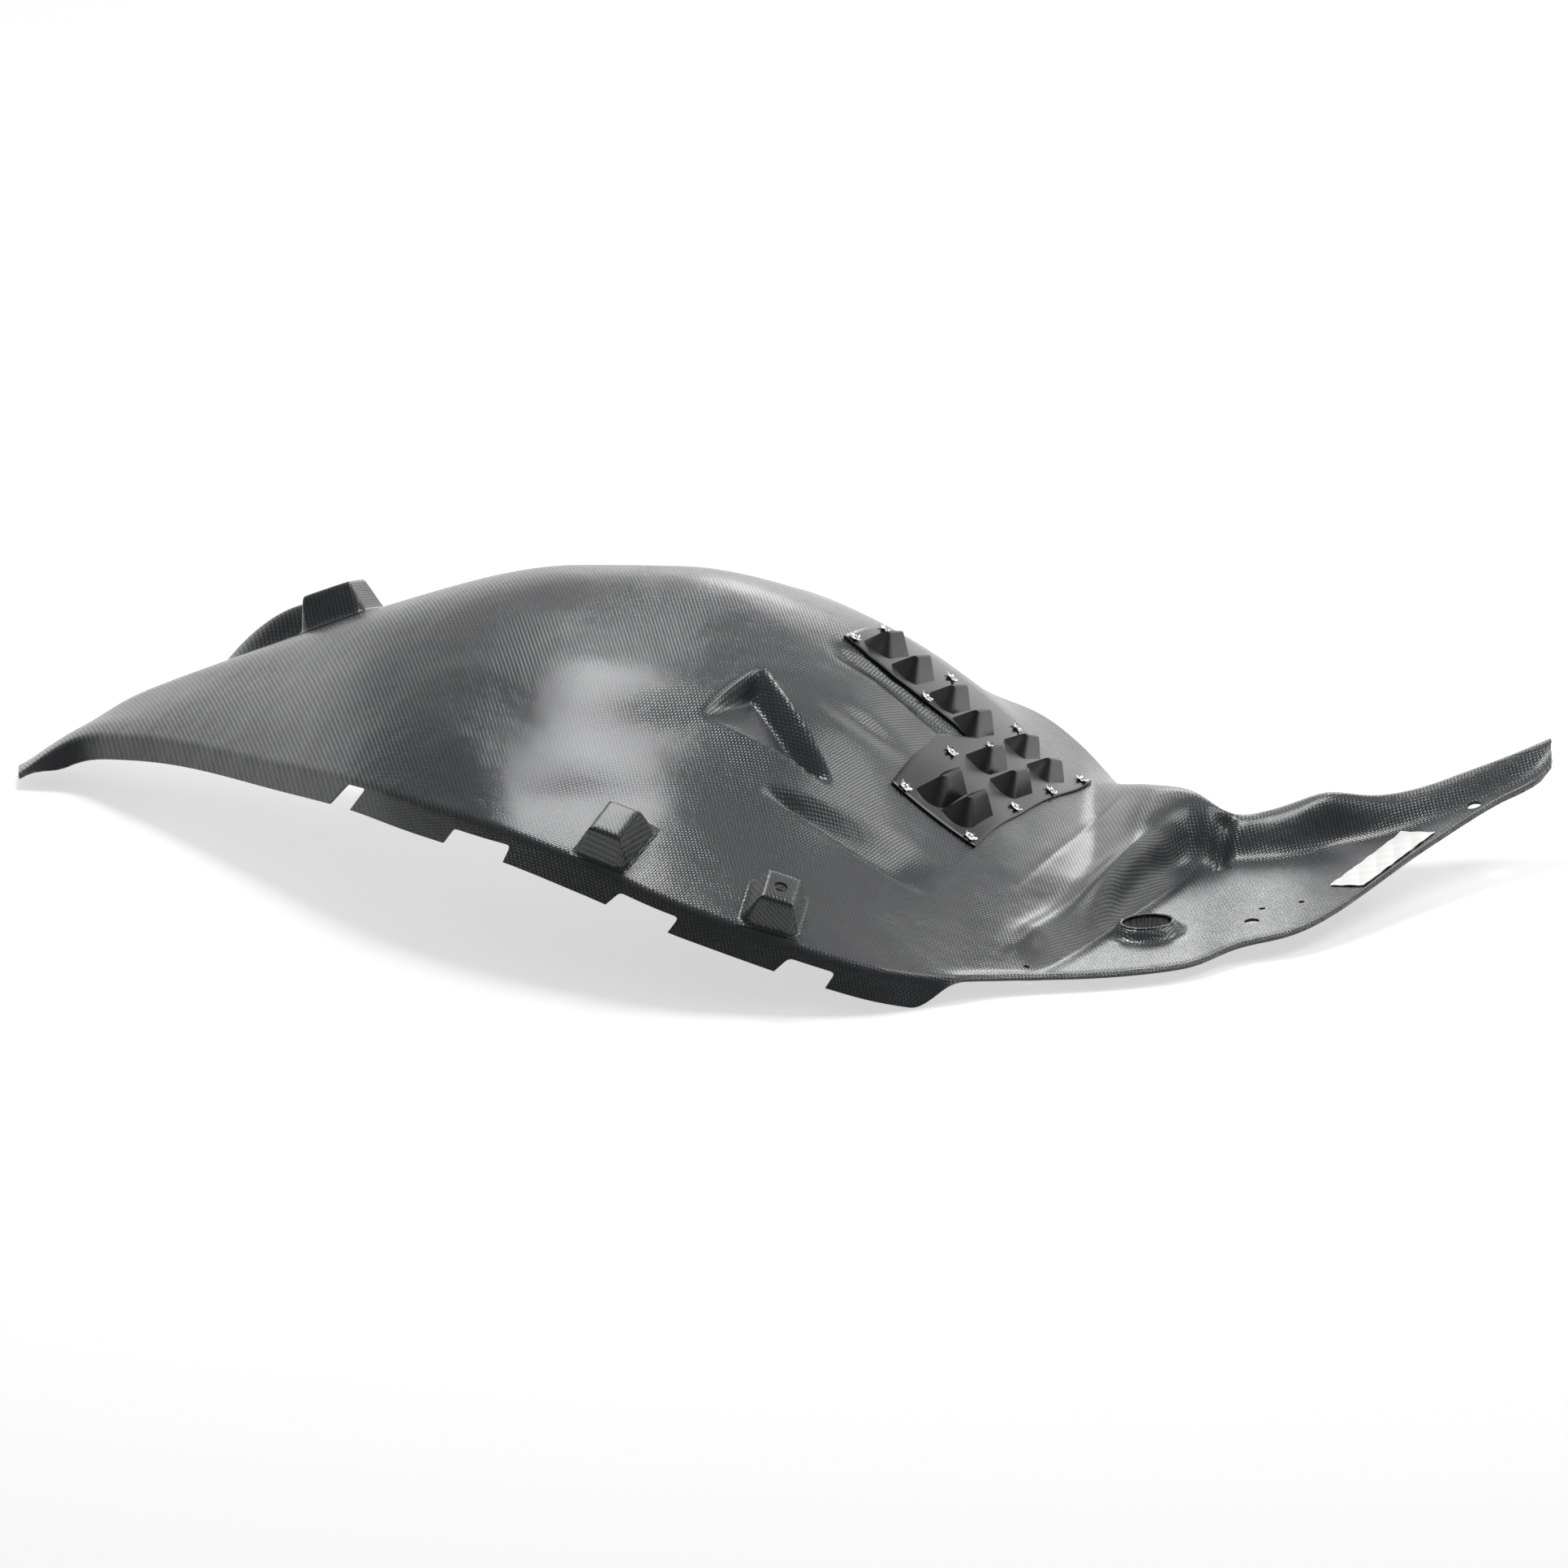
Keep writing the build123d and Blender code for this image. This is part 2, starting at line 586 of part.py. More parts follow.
# Louvre plate
xs, ys = [p[0] for p in PLATE_OUTLINE], [p[1] for p in PLATE_OUTLINE]
plate = slab(min(xs) - 4, max(xs) + 4, min(ys) - 4, max(ys) + 4, SEAT_GAP, SEAT_GAP + PLATE_T, base_z)
plate = plate & prism(PLATE_OUTLINE, PLATE_CORNER_R)
shells = []
openings = []
windows = []
hoods = {size: hood(size) for _, size in HOOD_PAIRS}
for place, size in hood_places():
    outer, hollow, throat, window = (place.location * piece for piece in hoods[size])
    shells.append(outer)
    openings += [hollow, throat]
    windows.append(window)
plate = plate.fuse(*shells).cut(*openings, *rivet_holes)

liner = liner.fuse(*forms).cut(*cuts, *windows, *rivet_holes)
rivets = Compound([rivet(*at) for at in RIVETS_AT])

# Label
reach = 0.6 * LABEL_L
lx, ly = LABEL_AT
label = slab(
    lx - reach, lx + reach, ly - reach, ly + reach, LABEL_GAP, LABEL_GAP + LABEL_T, skin_z, LABEL_STEP
)
turned = Pos(lx, ly) * Rot(0, 0, LABEL_TURN) * Rectangle(LABEL_L, LABEL_W)
label = label & extrude(turned, 400)

# Origin at the middle of the length and width, level with the lowest point
box = liner.bounding_box()
home = Pos(-box.center().X, -box.center().Y, -box.min.Z)

os.makedirs("parts", exist_ok=True)
export_step(home * liner, "parts/liner.step")
export_step(home * plate, "parts/vent_plate.step")
export_step(home * rivets, "parts/vent_rivets.step")
export_step(home * label, "parts/blank_label.step")
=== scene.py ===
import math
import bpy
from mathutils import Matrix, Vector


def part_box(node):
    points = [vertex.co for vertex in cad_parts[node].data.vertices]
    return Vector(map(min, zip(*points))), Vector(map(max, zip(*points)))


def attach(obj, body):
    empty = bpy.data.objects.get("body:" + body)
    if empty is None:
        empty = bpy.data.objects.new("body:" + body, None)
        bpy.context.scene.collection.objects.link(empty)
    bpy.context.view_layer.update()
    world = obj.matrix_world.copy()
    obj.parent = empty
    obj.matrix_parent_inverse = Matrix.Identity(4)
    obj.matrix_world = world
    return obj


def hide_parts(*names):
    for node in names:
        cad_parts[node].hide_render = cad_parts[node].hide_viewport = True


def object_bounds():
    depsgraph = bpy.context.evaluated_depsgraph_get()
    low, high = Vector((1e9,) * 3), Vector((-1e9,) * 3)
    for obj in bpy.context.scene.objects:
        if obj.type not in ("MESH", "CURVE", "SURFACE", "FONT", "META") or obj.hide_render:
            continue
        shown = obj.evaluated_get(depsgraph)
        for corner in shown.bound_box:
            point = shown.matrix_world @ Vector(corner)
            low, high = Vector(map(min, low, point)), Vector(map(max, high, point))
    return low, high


bl_info = {
    "name": "Wheel Arch Liner",
    "version": (1, 0, 0),
    "blender": (4, 5, 0),
    "location": "View3D > Sidebar > Arch Liner",
    "description": "Builds a thermoformed wheel arch liner with a riveted louvre plate",
    "category": "Object",
}

import bmesh
import bpy
import numpy as np
from mathutils import Matrix, Vector

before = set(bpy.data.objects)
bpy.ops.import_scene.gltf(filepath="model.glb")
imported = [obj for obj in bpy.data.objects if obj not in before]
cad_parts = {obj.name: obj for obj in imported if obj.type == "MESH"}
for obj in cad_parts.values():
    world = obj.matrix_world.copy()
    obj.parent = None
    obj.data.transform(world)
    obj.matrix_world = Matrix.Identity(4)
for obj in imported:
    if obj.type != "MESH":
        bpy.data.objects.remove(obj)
CAD_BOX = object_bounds()
MM = 0.001

# Rails of the skin from the pointed end to the tray end: x, y, z in millimetres
CREASE = [
    (-599, 533, 7), (-560, 534, 34), (-516, 488, 54), (-400, 318, 91), (-320, 200, 111),
    (-240, 122, 110), (-160, 66, 96), (-80, 22, 74), (60, -4, 33), (110, 10, 19), (160, 36, 6),
    (264, 56, 3), (320, 78, 3), (355, 116, 6), (395, 134, 9), (505, 270, 36), (550, 322, 49),
    (590, 360, 61), (600, 378, 70),
]
FOOT = [
    (-599, 541, 7), (-560, 546, 34), (-516, 514, 58), (-400, 375, 107), (-320, 272, 138),
    (-240, 213, 152), (-160, 171, 149), (0, 127, 101), (60, 130, 75), (160, 165, 36), (200, 120, 13),
    (240, 150, 5), (280, 250, 6), (320, 316, 8), (395, 310, 14), (428, 324, 20), (460, 318, 26),
    (505, 326, 37), (550, 352, 50), (590, 373, 63), (600, 384, 72),
]
SHOULDER = [
    (-599, 548, 6), (-560, 562, 30), (-470, 500, 83), (-400, 432, 117), (-320, 346, 162),
    (-160, 277, 197), (0, 255, 170), (60, 264, 146), (110, 284, 112), (160, 296, 74), (200, 235, 34),
    (240, 215, 26), (264, 255, 33), (320, 342, 40), (355, 332, 29), (395, 332, 35), (428, 340, 46),
    (460, 338, 44), (505, 350, 52), (590, 386, 71), (600, 391, 76),
]
CROWN = [
    (-599, 555, 5), (-560, 577, 24), (-516, 565, 55), (-470, 535, 83), (-400, 490, 124),
    (-320, 420, 174), (-160, 385, 222), (-80, 385, 221), (60, 400, 175), (110, 422, 140),
    (160, 440, 97), (200, 440, 58), (220, 430, 40), (242, 420, 30), (280, 376, 50),
    (320, 366, 52), (355, 345, 36), (395, 350, 43), (428, 350, 54), (460, 352, 51), (600, 398, 79),
]
FAR_EDGE = [
    (-599, 563, 3), (-580, 582, 6), (-560, 598, 10), (-516, 622, 33), (-400, 590, 88),
    (-320, 560, 130), (-160, 542, 171), (-80, 542, 170), (0, 547, 158), (110, 562, 101),
    (160, 564, 63), (200, 556, 49), (240, 525, 26), (264, 480, 12), (280, 465, 4),
    (320, 394, 30), (355, 358, 31), (395, 362, 40), (428, 361, 52), (460, 360, 47), (550, 390, 64),
    (600, 405, 80),
]

# Fairing: how far a change of slope is spread along and across, and the weights that spread it
FAIRING, SECTION_FAIRING = 18.0, 12.0
FAIRING_TAPS = ((-1.0, 1), (-0.5, 4), (0.0, 6), (0.5, 4), (1.0, 1))
TIP_X, TAIL_X = CREASE[0][0], CREASE[-1][0]

# Edge skirt, lips and upstand, with the lengths over which they fade
SHEET_T = 2.5
FLANGE_DROP, FLANGE_TIP_DROP, FLANGE_OUT, FLANGE_END_X = 25.0, 18.0, 8.0, 98.0
FLANGE_FADE, TIP_FADE, DEEPENS_FROM_X, DEEPENS_TO_X = 44.0, 38.0, -480.0, -290.0
CREASE_R, BRIM_W, BRIM_DROP = 4.5, 5.0, 1.5
CREASE_SKIRT_SHARE, CREASE_TOP_SHARE = 0.3, 0.2
LIP_RISE, LIP_WIDTH, LIP_FADE, LIP_TAIL_FADE = 5.0, 9.0, 60.0, 40.0
REAR_RISE, REAR_RISE_W, REAR_FROM_X, REAR_TO_X, REAR_FULLNESS = 30.0, 26.0, -440.0, -330.0, 0.8

# Pressed hollows; the ends of a run are given as shares of it
SCOOP_TOP, SCOOP_END, SCOOP_LEFT = (-18.0, 281.0), (42.0, 180.0), (-72.0, 214.0)
SCOOP_DEPTH, SCOOP_WALL, SCOOP_EDGE, SCOOP_BACK = 19.0, 17.0, 7.0, 9.8
SCOOP_SOFT, SCOOP_CLOSES = 0.1, (1.0, 0.82)
CHANNEL_A, CHANNEL_B, CHANNEL_W, CHANNEL_DEPTH = (-8.0, 150.0), (90.0, 126.0), (16.0, 56.0), 7.0
CHANNEL_EDGE, CHANNEL_OPENS, CHANNEL_CLOSES = (-3.0, 5.0), (-0.15, 0.12), (1.25, 0.9)
DENTS = [(66, 260, 26, 12, 5.0), (-105, 196, 55, 34, 4.0), (-150, 128, 60, 26, 3.0)]
FOLD_LINE, FOLD_W, FOLD_DEPTH = [(178.0, 180.0), (214.0, 267.0), (243.0, 348.0), (265.0, 380.0)], 2.6, 0.9

# Straight trenches: both ends, width and depth, which is below zero for a ridge
HUMP_FOOT = ((205.0, 74.0), (312.0, 285.0), 8.0, 4.5)
HUMP_BROW = ((192.0, 108.0), (286.0, 278.0), 14.0, -8.0)
POCKET = ((337.0, 302.0), (345.0, 344.0), 8.0, 9.0)
GROOVE = ((46.0, 337.0), (136.0, 332.0), 9.0, 6.5)
TRENCH_OPENS, TRENCH_CLOSES = (-0.18, 0.08), (1.18, 0.92)

# Bosses: place, heading or none for along the edge, base, height, wall run, hole
BOSS_HOLE_D, BOSS_MARGIN, BOSS_CORNER, BOSS_INSET = 11.0, 2.0, 9.0, 2.5
BOSS_SOFT, BOSS_LIFT, BOSS_LINE_STEP = 0.12, 0.25, 0.45
BOSS_FIT_LINES, BOSS_FIT_TERMS, BOSS_GRAIN_SHEAR = 9, 4, 0.5
BOSSES = [
    ((-132.0, 83.0), None, (46.0, 54.0), 24.0, 9.8, False),
    ((-8.0, 35.0), None, (46.0, 54.0), 24.0, 9.8, True),
    ((-345.0, 511.0), -28.0, (60.0, 44.0), 27.0, 8.5, True),
]

# Cuts in the skirt and holes in the tray
NOTCHES = [(-244.0, 57.0), (-116.0, 53.0), (12.0, 38.0)]
NOTCH_DEPTH, NOTCH_SLANT, NOTCH_LEAN, NOTCH_R, NOTCH_R_SHARE = 13.0, 4.0, 6.0, 4.0, 0.4
NOTCH_BELOW, NOTCH_REACH = 12.0, 16.0
SLOT_AT, SLOT_L, SLOT_DEPTH, SLOT_SLANT, SLOT_LEAN = -348.0, 24.0, 19.0, 4.0, 20.0
PORT_AT, PORT_TURN, PORT_L, PORT_W, PORT_RIM, PORT_H = (284.0, 160.0), 24.0, 40.0, 30.0, 8.0, 9.0
PORT_SPREAD, PORT_LEVELS, PORT_WALL, PORT_START, PORT_SOFT = 14.0, 40.0, 7.0, 0.35, 0.2
ROUND_HOLES = [
    ((366.0, 176.0), 12.0), ((540.0, 340.0), 12.0), ((374.0, 203.0), 5.0), ((405.0, 210.0), 5.0),
    ((190.0, 66.0), 5.0),
]

# Rolled lip of the port: distance outside the mouth and height over the collar
PORT_LIP = [
    (2.6, -14.0), (0.9, -14.0), (0.0, -2.2), (0.0, -0.4), (0.5, 0.35), (1.4, 0.5), (2.2, 0.3), (2.8, -0.3),
]

# How far each cut reaches above and below its seat, and the sides of the round ones
BOSS_CUT, BOSS_HOLE_CUT, HOLE_CUT, PORT_CUT, WINDOW_CUT, THROAT_CUT = 14.0, 8.0, 10.0, 24.0, 8.0, 4.0
BOSS_HOLE_SIDES, HOLE_SIDES, PORT_SIDES, CORNER_POINTS = 48, 36, 96, 4

# Louvre plate
PLATE_T, SEAT_GAP = 2.0, 0.3
STRIP_LOW = [(47, 360), (66, 349), (86, 345), (147, 349)]
STRIP_JOIN = [(147, 349), (213, 364)]
STRIP_HIGH = [(82, 433), (132, 434), (182, 450), (241, 436)]
BLOCK_LEFT = [(147, 349), (121, 316), (85, 217)]
BLOCK_RIGHT = [(213, 364), (186, 296), (150, 209)]
HOOD_PAIRS = [((60.5, 367), 1.0), ((111, 360), 1.0), ((170, 389), 0.9), ((140, 316), 1.0), ((101, 228), 1.15)]
HOOD_PITCH, HOOD_SHIFT, HOOD_YAW, HOOD_H, HOOD_WALL, HOOD_MIDDLE = 26.0, -6.0, -8.0, 14.0, 1.6, (16, 20)
HOOD_BASE = [(0, 0), (14, -5.5), (27.5, 1), (40.5, 32), (16, 33)]
HOOD_TOP = [(10.5, 11), (12, 11.6), (14.5, 13.5), (23.8, 32.5), (20, 33.2)]
MOUTH_SKEW, MOUTH_LEAN, HOOD_SILL = 0.523, 0.537, 4.4
WINDOW = [(4, 2), (13, -2), (25, 4.5), (36.5, 29.5), (17, 30)]
FLANK_POINTS, WALL_POINTS, HOOD_LEVELS = 13, 6, 9

# Rivets: radius and height of the head below the sheet and of the stub over the plate, then the petals
RIVETS_AT = [
    (54, 364), (109.5, 350.5), (160, 356), (77, 414), (129, 416), (180, 430),
    (129, 303), (93, 222), (144, 216), (179, 297), (207, 364), (232, 430),
]
RIVET_HEAD = [(3.2, -1.2), (4.0, -0.7), (4.0, 0.0), (2.0, 0.0)]
RIVET_STUB = [(2.0, 0.9), (1.3, 1.1), (1.1, -0.6)]
RIVET_TURN, RIVET_SIDES = 37, 24
PETAL_ROOT, PETAL_HALF_W, PETAL_SWELL, PETAL_TAPER, PETAL_T = 1.4, 1.3, 0.7, 0.5, 0.45
PETAL_LIFT, PETAL_DIP, PETAL_CURL, PETAL_HOLLOW = 1.0, 0.7, 0.9, 0.35
PETAL_ROWS, PETAL_LINES = 6, (-1, -0.4, 0.4, 1)

# Label
LABEL_AT, LABEL_TURN, LABEL_L, LABEL_W = (468.0, 268.0), 56.0, 100.0, 32.0
LABEL_LIFT, LABEL_FILM, LABEL_LINES = 0.5, 0.2, (81, 31)

# Mesh lines across the sheet: skirt, crease and top, and places where those of the top lie closer,
# as x from and to, y from and to and the added density
SKIRT_LINES, CREASE_LINES, TOP_LINES = 6, 6, 112
DETAILS = [
    (-88.0, 112.0, 120.0, 292.0, 2.5), (178.0, 356.0, 60.0, 350.0, 1.2), (-445.0, -325.0, 540.0, 600.0, 2.0),
    (-88.0, 145.0, 312.0, 352.0, 1.5),
]
DETAIL_FADE_X, DETAIL_FADE_Y = 30.0, 15.0

# UV map with distances over the sheet's surface, and the turn of the woven grain on it
GRAIN, GRAIN_TURN = "grain", 34.0

# Part of its range that a noise mostly fills
NOISE_SPAN = (0.3, 0.7)

# Camera: height of the view in degrees, width of the picture, aim in the row frame and distance from it
VIEW_ELEVATION = 19.0
VIEW_WIDTH = 1.2268
VIEW_AIM = (-0.0005, 0.0, 0.08095)
VIEW_DISTANCE, VIEW_DEPTH = 5.0, 100.0

# Floor: half its width and the gap below the liner, in metres
FLOOR_REACH, FLOOR_GAP = 20.0, 0.0005


class SheetSettings(bpy.types.PropertyGroup):
    thickness: bpy.props.FloatProperty(
        name="Thickness", description="Thickness of the formed sheet", default=SHEET_T * MM, unit="LENGTH")
    line_step: bpy.props.FloatProperty(
        name="Line step", description="Distance between the mesh lines along the liner",
        default=6.0 * MM, unit="LENGTH")
    fine_step: bpy.props.FloatProperty(
        name="Fine step", description="Distance between the lines at the detailed places",
        default=2.1 * MM, unit="LENGTH")
    colour: bpy.props.FloatVectorProperty(
        name="Colour", description="Colour of the charcoal plastic",
        default=(0.02, 0.021, 0.023), subtype="COLOR")
    weave_pitch: bpy.props.FloatProperty(
        name="Weave pitch", description="Width of one cell of the embossed weave",
        default=2.0 * MM, unit="LENGTH")
    weave_depth: bpy.props.FloatProperty(
        name="Weave depth", description="Height of the embossed weave", default=0.2 * MM, unit="LENGTH")
    unevenness: bpy.props.FloatProperty(
        name="Unevenness", description="Height of the broad unevenness left by forming",
        default=4.5 * MM, unit="LENGTH")


class VentSettings(bpy.types.PropertyGroup):
    colour: bpy.props.FloatVectorProperty(
        name="Plate colour", description="Colour of the louvre plate",
        default=(0.02, 0.02, 0.022), subtype="COLOR")
    rivet_colour: bpy.props.FloatVectorProperty(
        name="Rivet colour", description="Colour of the bare rivet metal",
        default=(0.8, 0.8, 0.81), subtype="COLOR")
    petals: bpy.props.IntProperty(
        name="Petals", description="Split tails on each peel rivet", default=5, min=3, max=8)
    petal_reach: bpy.props.FloatProperty(
        name="Petal reach", description="Radius of the spread petals", default=5.7 * MM, unit="LENGTH")


class LabelSettings(bpy.types.PropertyGroup):
    colour: bpy.props.FloatVectorProperty(
        name="Label colour", description="Colour of the blank label film",
        default=(0.86, 0.86, 0.85), subtype="COLOR")
    wrinkle: bpy.props.FloatProperty(
        name="Wrinkle", description="Height of the creases in the film", default=0.5 * MM, unit="LENGTH")


class StageSettings(bpy.types.PropertyGroup):
    floor_colour: bpy.props.FloatVectorProperty(
        name="Floor colour", description="Colour of the pale floor", default=(0.5, 0.5, 0.5), subtype="COLOR")
    floor_lift: bpy.props.FloatProperty(
        name="Floor lift", description="Level added to the floor where it is shown", default=0.6, min=0.0)
    back_level: bpy.props.FloatProperty(
        name="Back level", description="Level of the wall behind the liner", default=1.5, min=0.0)
    top_level: bpy.props.FloatProperty(
        name="Top level", description="Level of the ceiling", default=0.22, min=0.0)
    front_level: bpy.props.FloatProperty(
        name="Front level", description="Level of the wall in front of the liner", default=0.05, min=0.0)
    key_power: bpy.props.FloatProperty(
        name="Key power", description="Power of the large overhead light", default=27.0, unit="POWER")
    back_power: bpy.props.FloatProperty(
        name="Back power", description="Power of the low light behind the tray", default=8.0, unit="POWER")
    side_power: bpy.props.FloatProperty(
        name="Side power", description="Power of the light at the right", default=17.0, unit="POWER")


def settings(name):
    return getattr(bpy.context.scene, "arch_liner_" + name)


def spline(xs, ys):
    """Monotone cubic through the given stations."""
    xs, ys = np.asarray(xs, float), np.asarray(ys, float)
    h = np.diff(xs)
    d = np.diff(ys) / h
    m = np.concatenate(([d[0]], np.zeros(len(xs) - 2), [d[-1]]))
    for i in range(1, len(xs) - 1):
        if d[i - 1] * d[i] > 0:
            w1 = 2 * h[i] + h[i - 1]
            w2 = h[i] + 2 * h[i - 1]
            m[i] = (w1 + w2) / (w1 / d[i - 1] + w2 / d[i])

    def value(x):
        i = np.clip(np.searchsorted(xs, x) - 1, 0, len(xs) - 2)
        t = (x - xs[i]) / h[i]
        a = (1 + 2 * t) * (1 - t) ** 2 * ys[i] + t * (1 - t) ** 2 * h[i] * m[i]
        return a + t * t * (3 - 2 * t) * ys[i + 1] + t * t * (t - 1) * h[i] * m[i + 1]

    return value


def faired(curve, start, end, reach):
    """The same curve with its changes of slope spread over the given reach."""

    def value(x):
        span = np.clip(np.minimum(x - start, end - x), 0, reach)
        return sum(w * curve(x + k * span) for k, w in FAIRING_TAPS) / sum(w for _, w in FAIRING_TAPS)

    return value


def rail(points):
    """Curves of y and z along x through the given points."""
    xs = [p[0] for p in points]
    return [faired(spline(xs, [p[k] for p in points]), TIP_X, TAIL_X, FAIRING) for k in (1, 2)]


RAILS = [rail(points) for points in (CREASE, FOOT, SHOULDER, CROWN, FAR_EDGE)]
near_y, far_y = RAILS[0][0], RAILS[4][0]
SECTIONS = {}


def step(a, b, v):
    """Smooth step from 0 at a to 1 at b."""
    t = np.clip((v - a) / (b - a), 0, 1)
    return t * t * (3 - 2 * t)


def base_z(x, y):
    """Height of the plain skin at one station, for one or many y."""
    key = round(float(x), 4)
    if key not in SECTIONS:
        ys = [float(r[0](x)) for r in RAILS]
        SECTIONS[key] = faired(spline(ys, [float(r[1](x)) for r in RAILS]), ys[0], ys[-1], SECTION_FAIRING)
    return SECTIONS[key](y)


def side(p, q, x, y):
    """Distance of (x, y) to the left of the line from p to q."""
    dx, dy = q[0] - p[0], q[1] - p[1]
    return (dx * (y - p[1]) - dy * (x - p[0])) / math.hypot(dx, dy)


def along(p, q, x, y):
    """Share of the way from p to q."""
    dx, dy = q[0] - p[0], q[1] - p[1]
    return ((x - p[0]) * dx + (y - p[1]) * dy) / (dx * dx + dy * dy)


def trench(a, b, width, depth, x, y):
    """Straight hollow with soft sides and ends."""
    run = along(a, b, x, y)
    ends = step(*TRENCH_OPENS, run) * step(*TRENCH_CLOSES, run)
    return depth * ends * np.exp(-((side(a, b, x, y) / width) ** 2))


def soft_ramp(t, soft):
    """Rises from 0 to 1 over the unit step with rounded ends."""

    def bend(v):
        return (v + np.sqrt(v * v + soft * soft)) / 2

    return bend(t) - bend(t - 1)


def scoop(x, y):
    """Pocket with a steep wall below one rim and a long slope up to the other."""
    rim = np.maximum(-side(SCOOP_TOP, SCOOP_END, x, y), 0)
    shallow = np.maximum(side(SCOOP_LEFT, SCOOP_END, x, y), 0)
    back = np.maximum(-side(SCOOP_LEFT, SCOOP_TOP, x, y), 0)
    fall = shallow / (shallow + np.maximum(0, rim - SCOOP_WALL) + 1e-6)
    edges = step(0, SCOOP_BACK, back) * step(0, SCOOP_EDGE, shallow)
    close = step(*SCOOP_CLOSES, along(SCOOP_TOP, SCOOP_END, x, y))
    return SCOOP_DEPTH * soft_ramp(rim / SCOOP_WALL, SCOOP_SOFT) * fall * edges * close * (rim > 0)


def channel(x, y):
    """Trough with one crisp edge that widens along its run."""
    run = along(CHANNEL_A, CHANNEL_B, x, y)
    across = side(CHANNEL_A, CHANNEL_B, x, y)
    width = CHANNEL_W[0] + (CHANNEL_W[1] - CHANNEL_W[0]) * np.clip(run, 0, 1)
    ends = step(*CHANNEL_OPENS, run) * step(*CHANNEL_CLOSES, run)
    return CHANNEL_DEPTH * ends * step(*CHANNEL_EDGE, across) * (1 - step(CHANNEL_EDGE[1], width, across))


def fold(x, y):
    """Fine pressed line that runs down beside the hump."""
    total = 0.0
    for a, b in zip(FOLD_LINE, FOLD_LINE[1:]):
        run = along(a, b, x, y)
        inside = (run >= 0) & (run <= 1)
        total = np.maximum(total, inside * np.exp(-((side(a, b, x, y) / FOLD_W) ** 2)))
    return FOLD_DEPTH * total


def skin_z(x, y):
    """Height of the upper face of the sheet at one station, for one or many y."""
    z = base_z(x, y) - scoop(x, y) - fold(x, y) - channel(x, y)
    for hollow in (HUMP_FOOT, HUMP_BROW, POCKET, GROOVE):
        z = z - trench(*hollow, x, y)
    for cx, cy, rx, ry, depth in DENTS:
        z = z - depth * np.exp(-(((x - cx) / rx) ** 2) - ((y - cy) / ry) ** 2)
    if x > FLANGE_END_X:
        lip = np.exp(-(((y - near_y(x)) / LIP_WIDTH) ** 2))
        ends = step(FLANGE_END_X, FLANGE_END_X + LIP_FADE, x) * step(TAIL_X, TAIL_X - LIP_TAIL_FADE, x)
        z = z + LIP_RISE * lip * ends
    if REAR_FROM_X < x < REAR_TO_X:
        share = math.sin(math.pi * (x - REAR_FROM_X) / (REAR_TO_X - REAR_FROM_X)) ** REAR_FULLNESS
        z = z + REAR_RISE * share * step(far_y(x) - REAR_RISE_W, far_y(x), y)
    return z


def normal_at(surface, x, y, reach=1.5):
    """Unit normal of a surface, from its slope over the reach to each side."""
    zx = (surface(x + reach, y) - surface(x - reach, y)) / (2 * reach)
    zy = (surface(x, y + reach) - surface(x, y - reach)) / (2 * reach)
    return Vector((-zx, -zy, 1)).normalized()


def frame_at(x, y, heading, surface=skin_z):
    """Matrix of a seat on the surface, its x axis along the plan heading in degrees, in millimetres."""
    normal = normal_at(surface, x, y)
    turn = math.radians(heading)
    ahead = Vector((math.cos(turn), math.sin(turn), 0))
    ahead = (ahead - normal * ahead.dot(normal)).normalized()
    seat = Matrix((ahead, normal.cross(ahead), normal)).transposed().to_4x4()
    seat.translation = Vector((x, y, float(surface(x, y))))
    return seat


def heading_of_edge(x, reach=5):
    """Plan heading of the crease in degrees."""
    return math.degrees(math.atan2(near_y(x + reach) - near_y(x - reach), 2 * reach))


def flange(x):
    """Reach of the edge skirt from the crease: deep on the dome, a short brim on the tray."""
    full = step(FLANGE_END_X + FLANGE_FADE, FLANGE_END_X, x) * step(TIP_X, TIP_X + TIP_FADE, x)
    drop = FLANGE_TIP_DROP + (FLANGE_DROP - FLANGE_TIP_DROP) * step(DEEPENS_FROM_X, DEEPENS_TO_X, x)
    return np.array((0, -FLANGE_OUT * full - BRIM_W * (1 - full), -drop * full - BRIM_DROP * (1 - full)))


def spread_across(x, start, end, samples=500):
    """Places across one section, closer together at the detailed places."""
    ys = np.linspace(start, end, samples)
    weight = np.ones(samples)
    for low, high, near, far, gain in DETAILS:
        share = step(low - DETAIL_FADE_X, low, x) * step(high + DETAIL_FADE_X, high, x)
        weight += gain * share * step(near - DETAIL_FADE_Y, near, ys) * step(far + DETAIL_FADE_Y, far, ys)
    total = np.concatenate(((0.0,), np.cumsum(weight[1:] + weight[:-1])))
    return np.interp(np.linspace(0, total[-1], TOP_LINES), total, ys)


def section(x, surface=skin_z):
    """Points of the upper face at one station, from the free edge of the skirt to the far edge."""
    near, far = float(near_y(x)), float(far_y(x))
    corner = np.array((x, near, float(surface(x, near))))
    reach = flange(x)
    length = np.linalg.norm(reach)
    bend = min(CREASE_R, CREASE_SKIRT_SHARE * length, CREASE_TOP_SHARE * (far - near))
    low = corner + reach / length * bend
    high = np.array((x, near + bend, float(surface(x, near + bend))))
    skirt = [corner + reach + (low - corner - reach) * k / SKIRT_LINES for k in range(SKIRT_LINES)]
    turns = np.linspace(0, 1, CREASE_LINES)
    arc = [low * (1 - t) ** 2 + corner * 2 * t * (1 - t) + high * t * t for t in turns]
    ys = spread_across(x, near + bend, far)[1:]
    top = np.stack((np.full(len(ys), x), ys, surface(x, ys)), axis=1)
    return np.concatenate((np.array(skirt + arc), top))


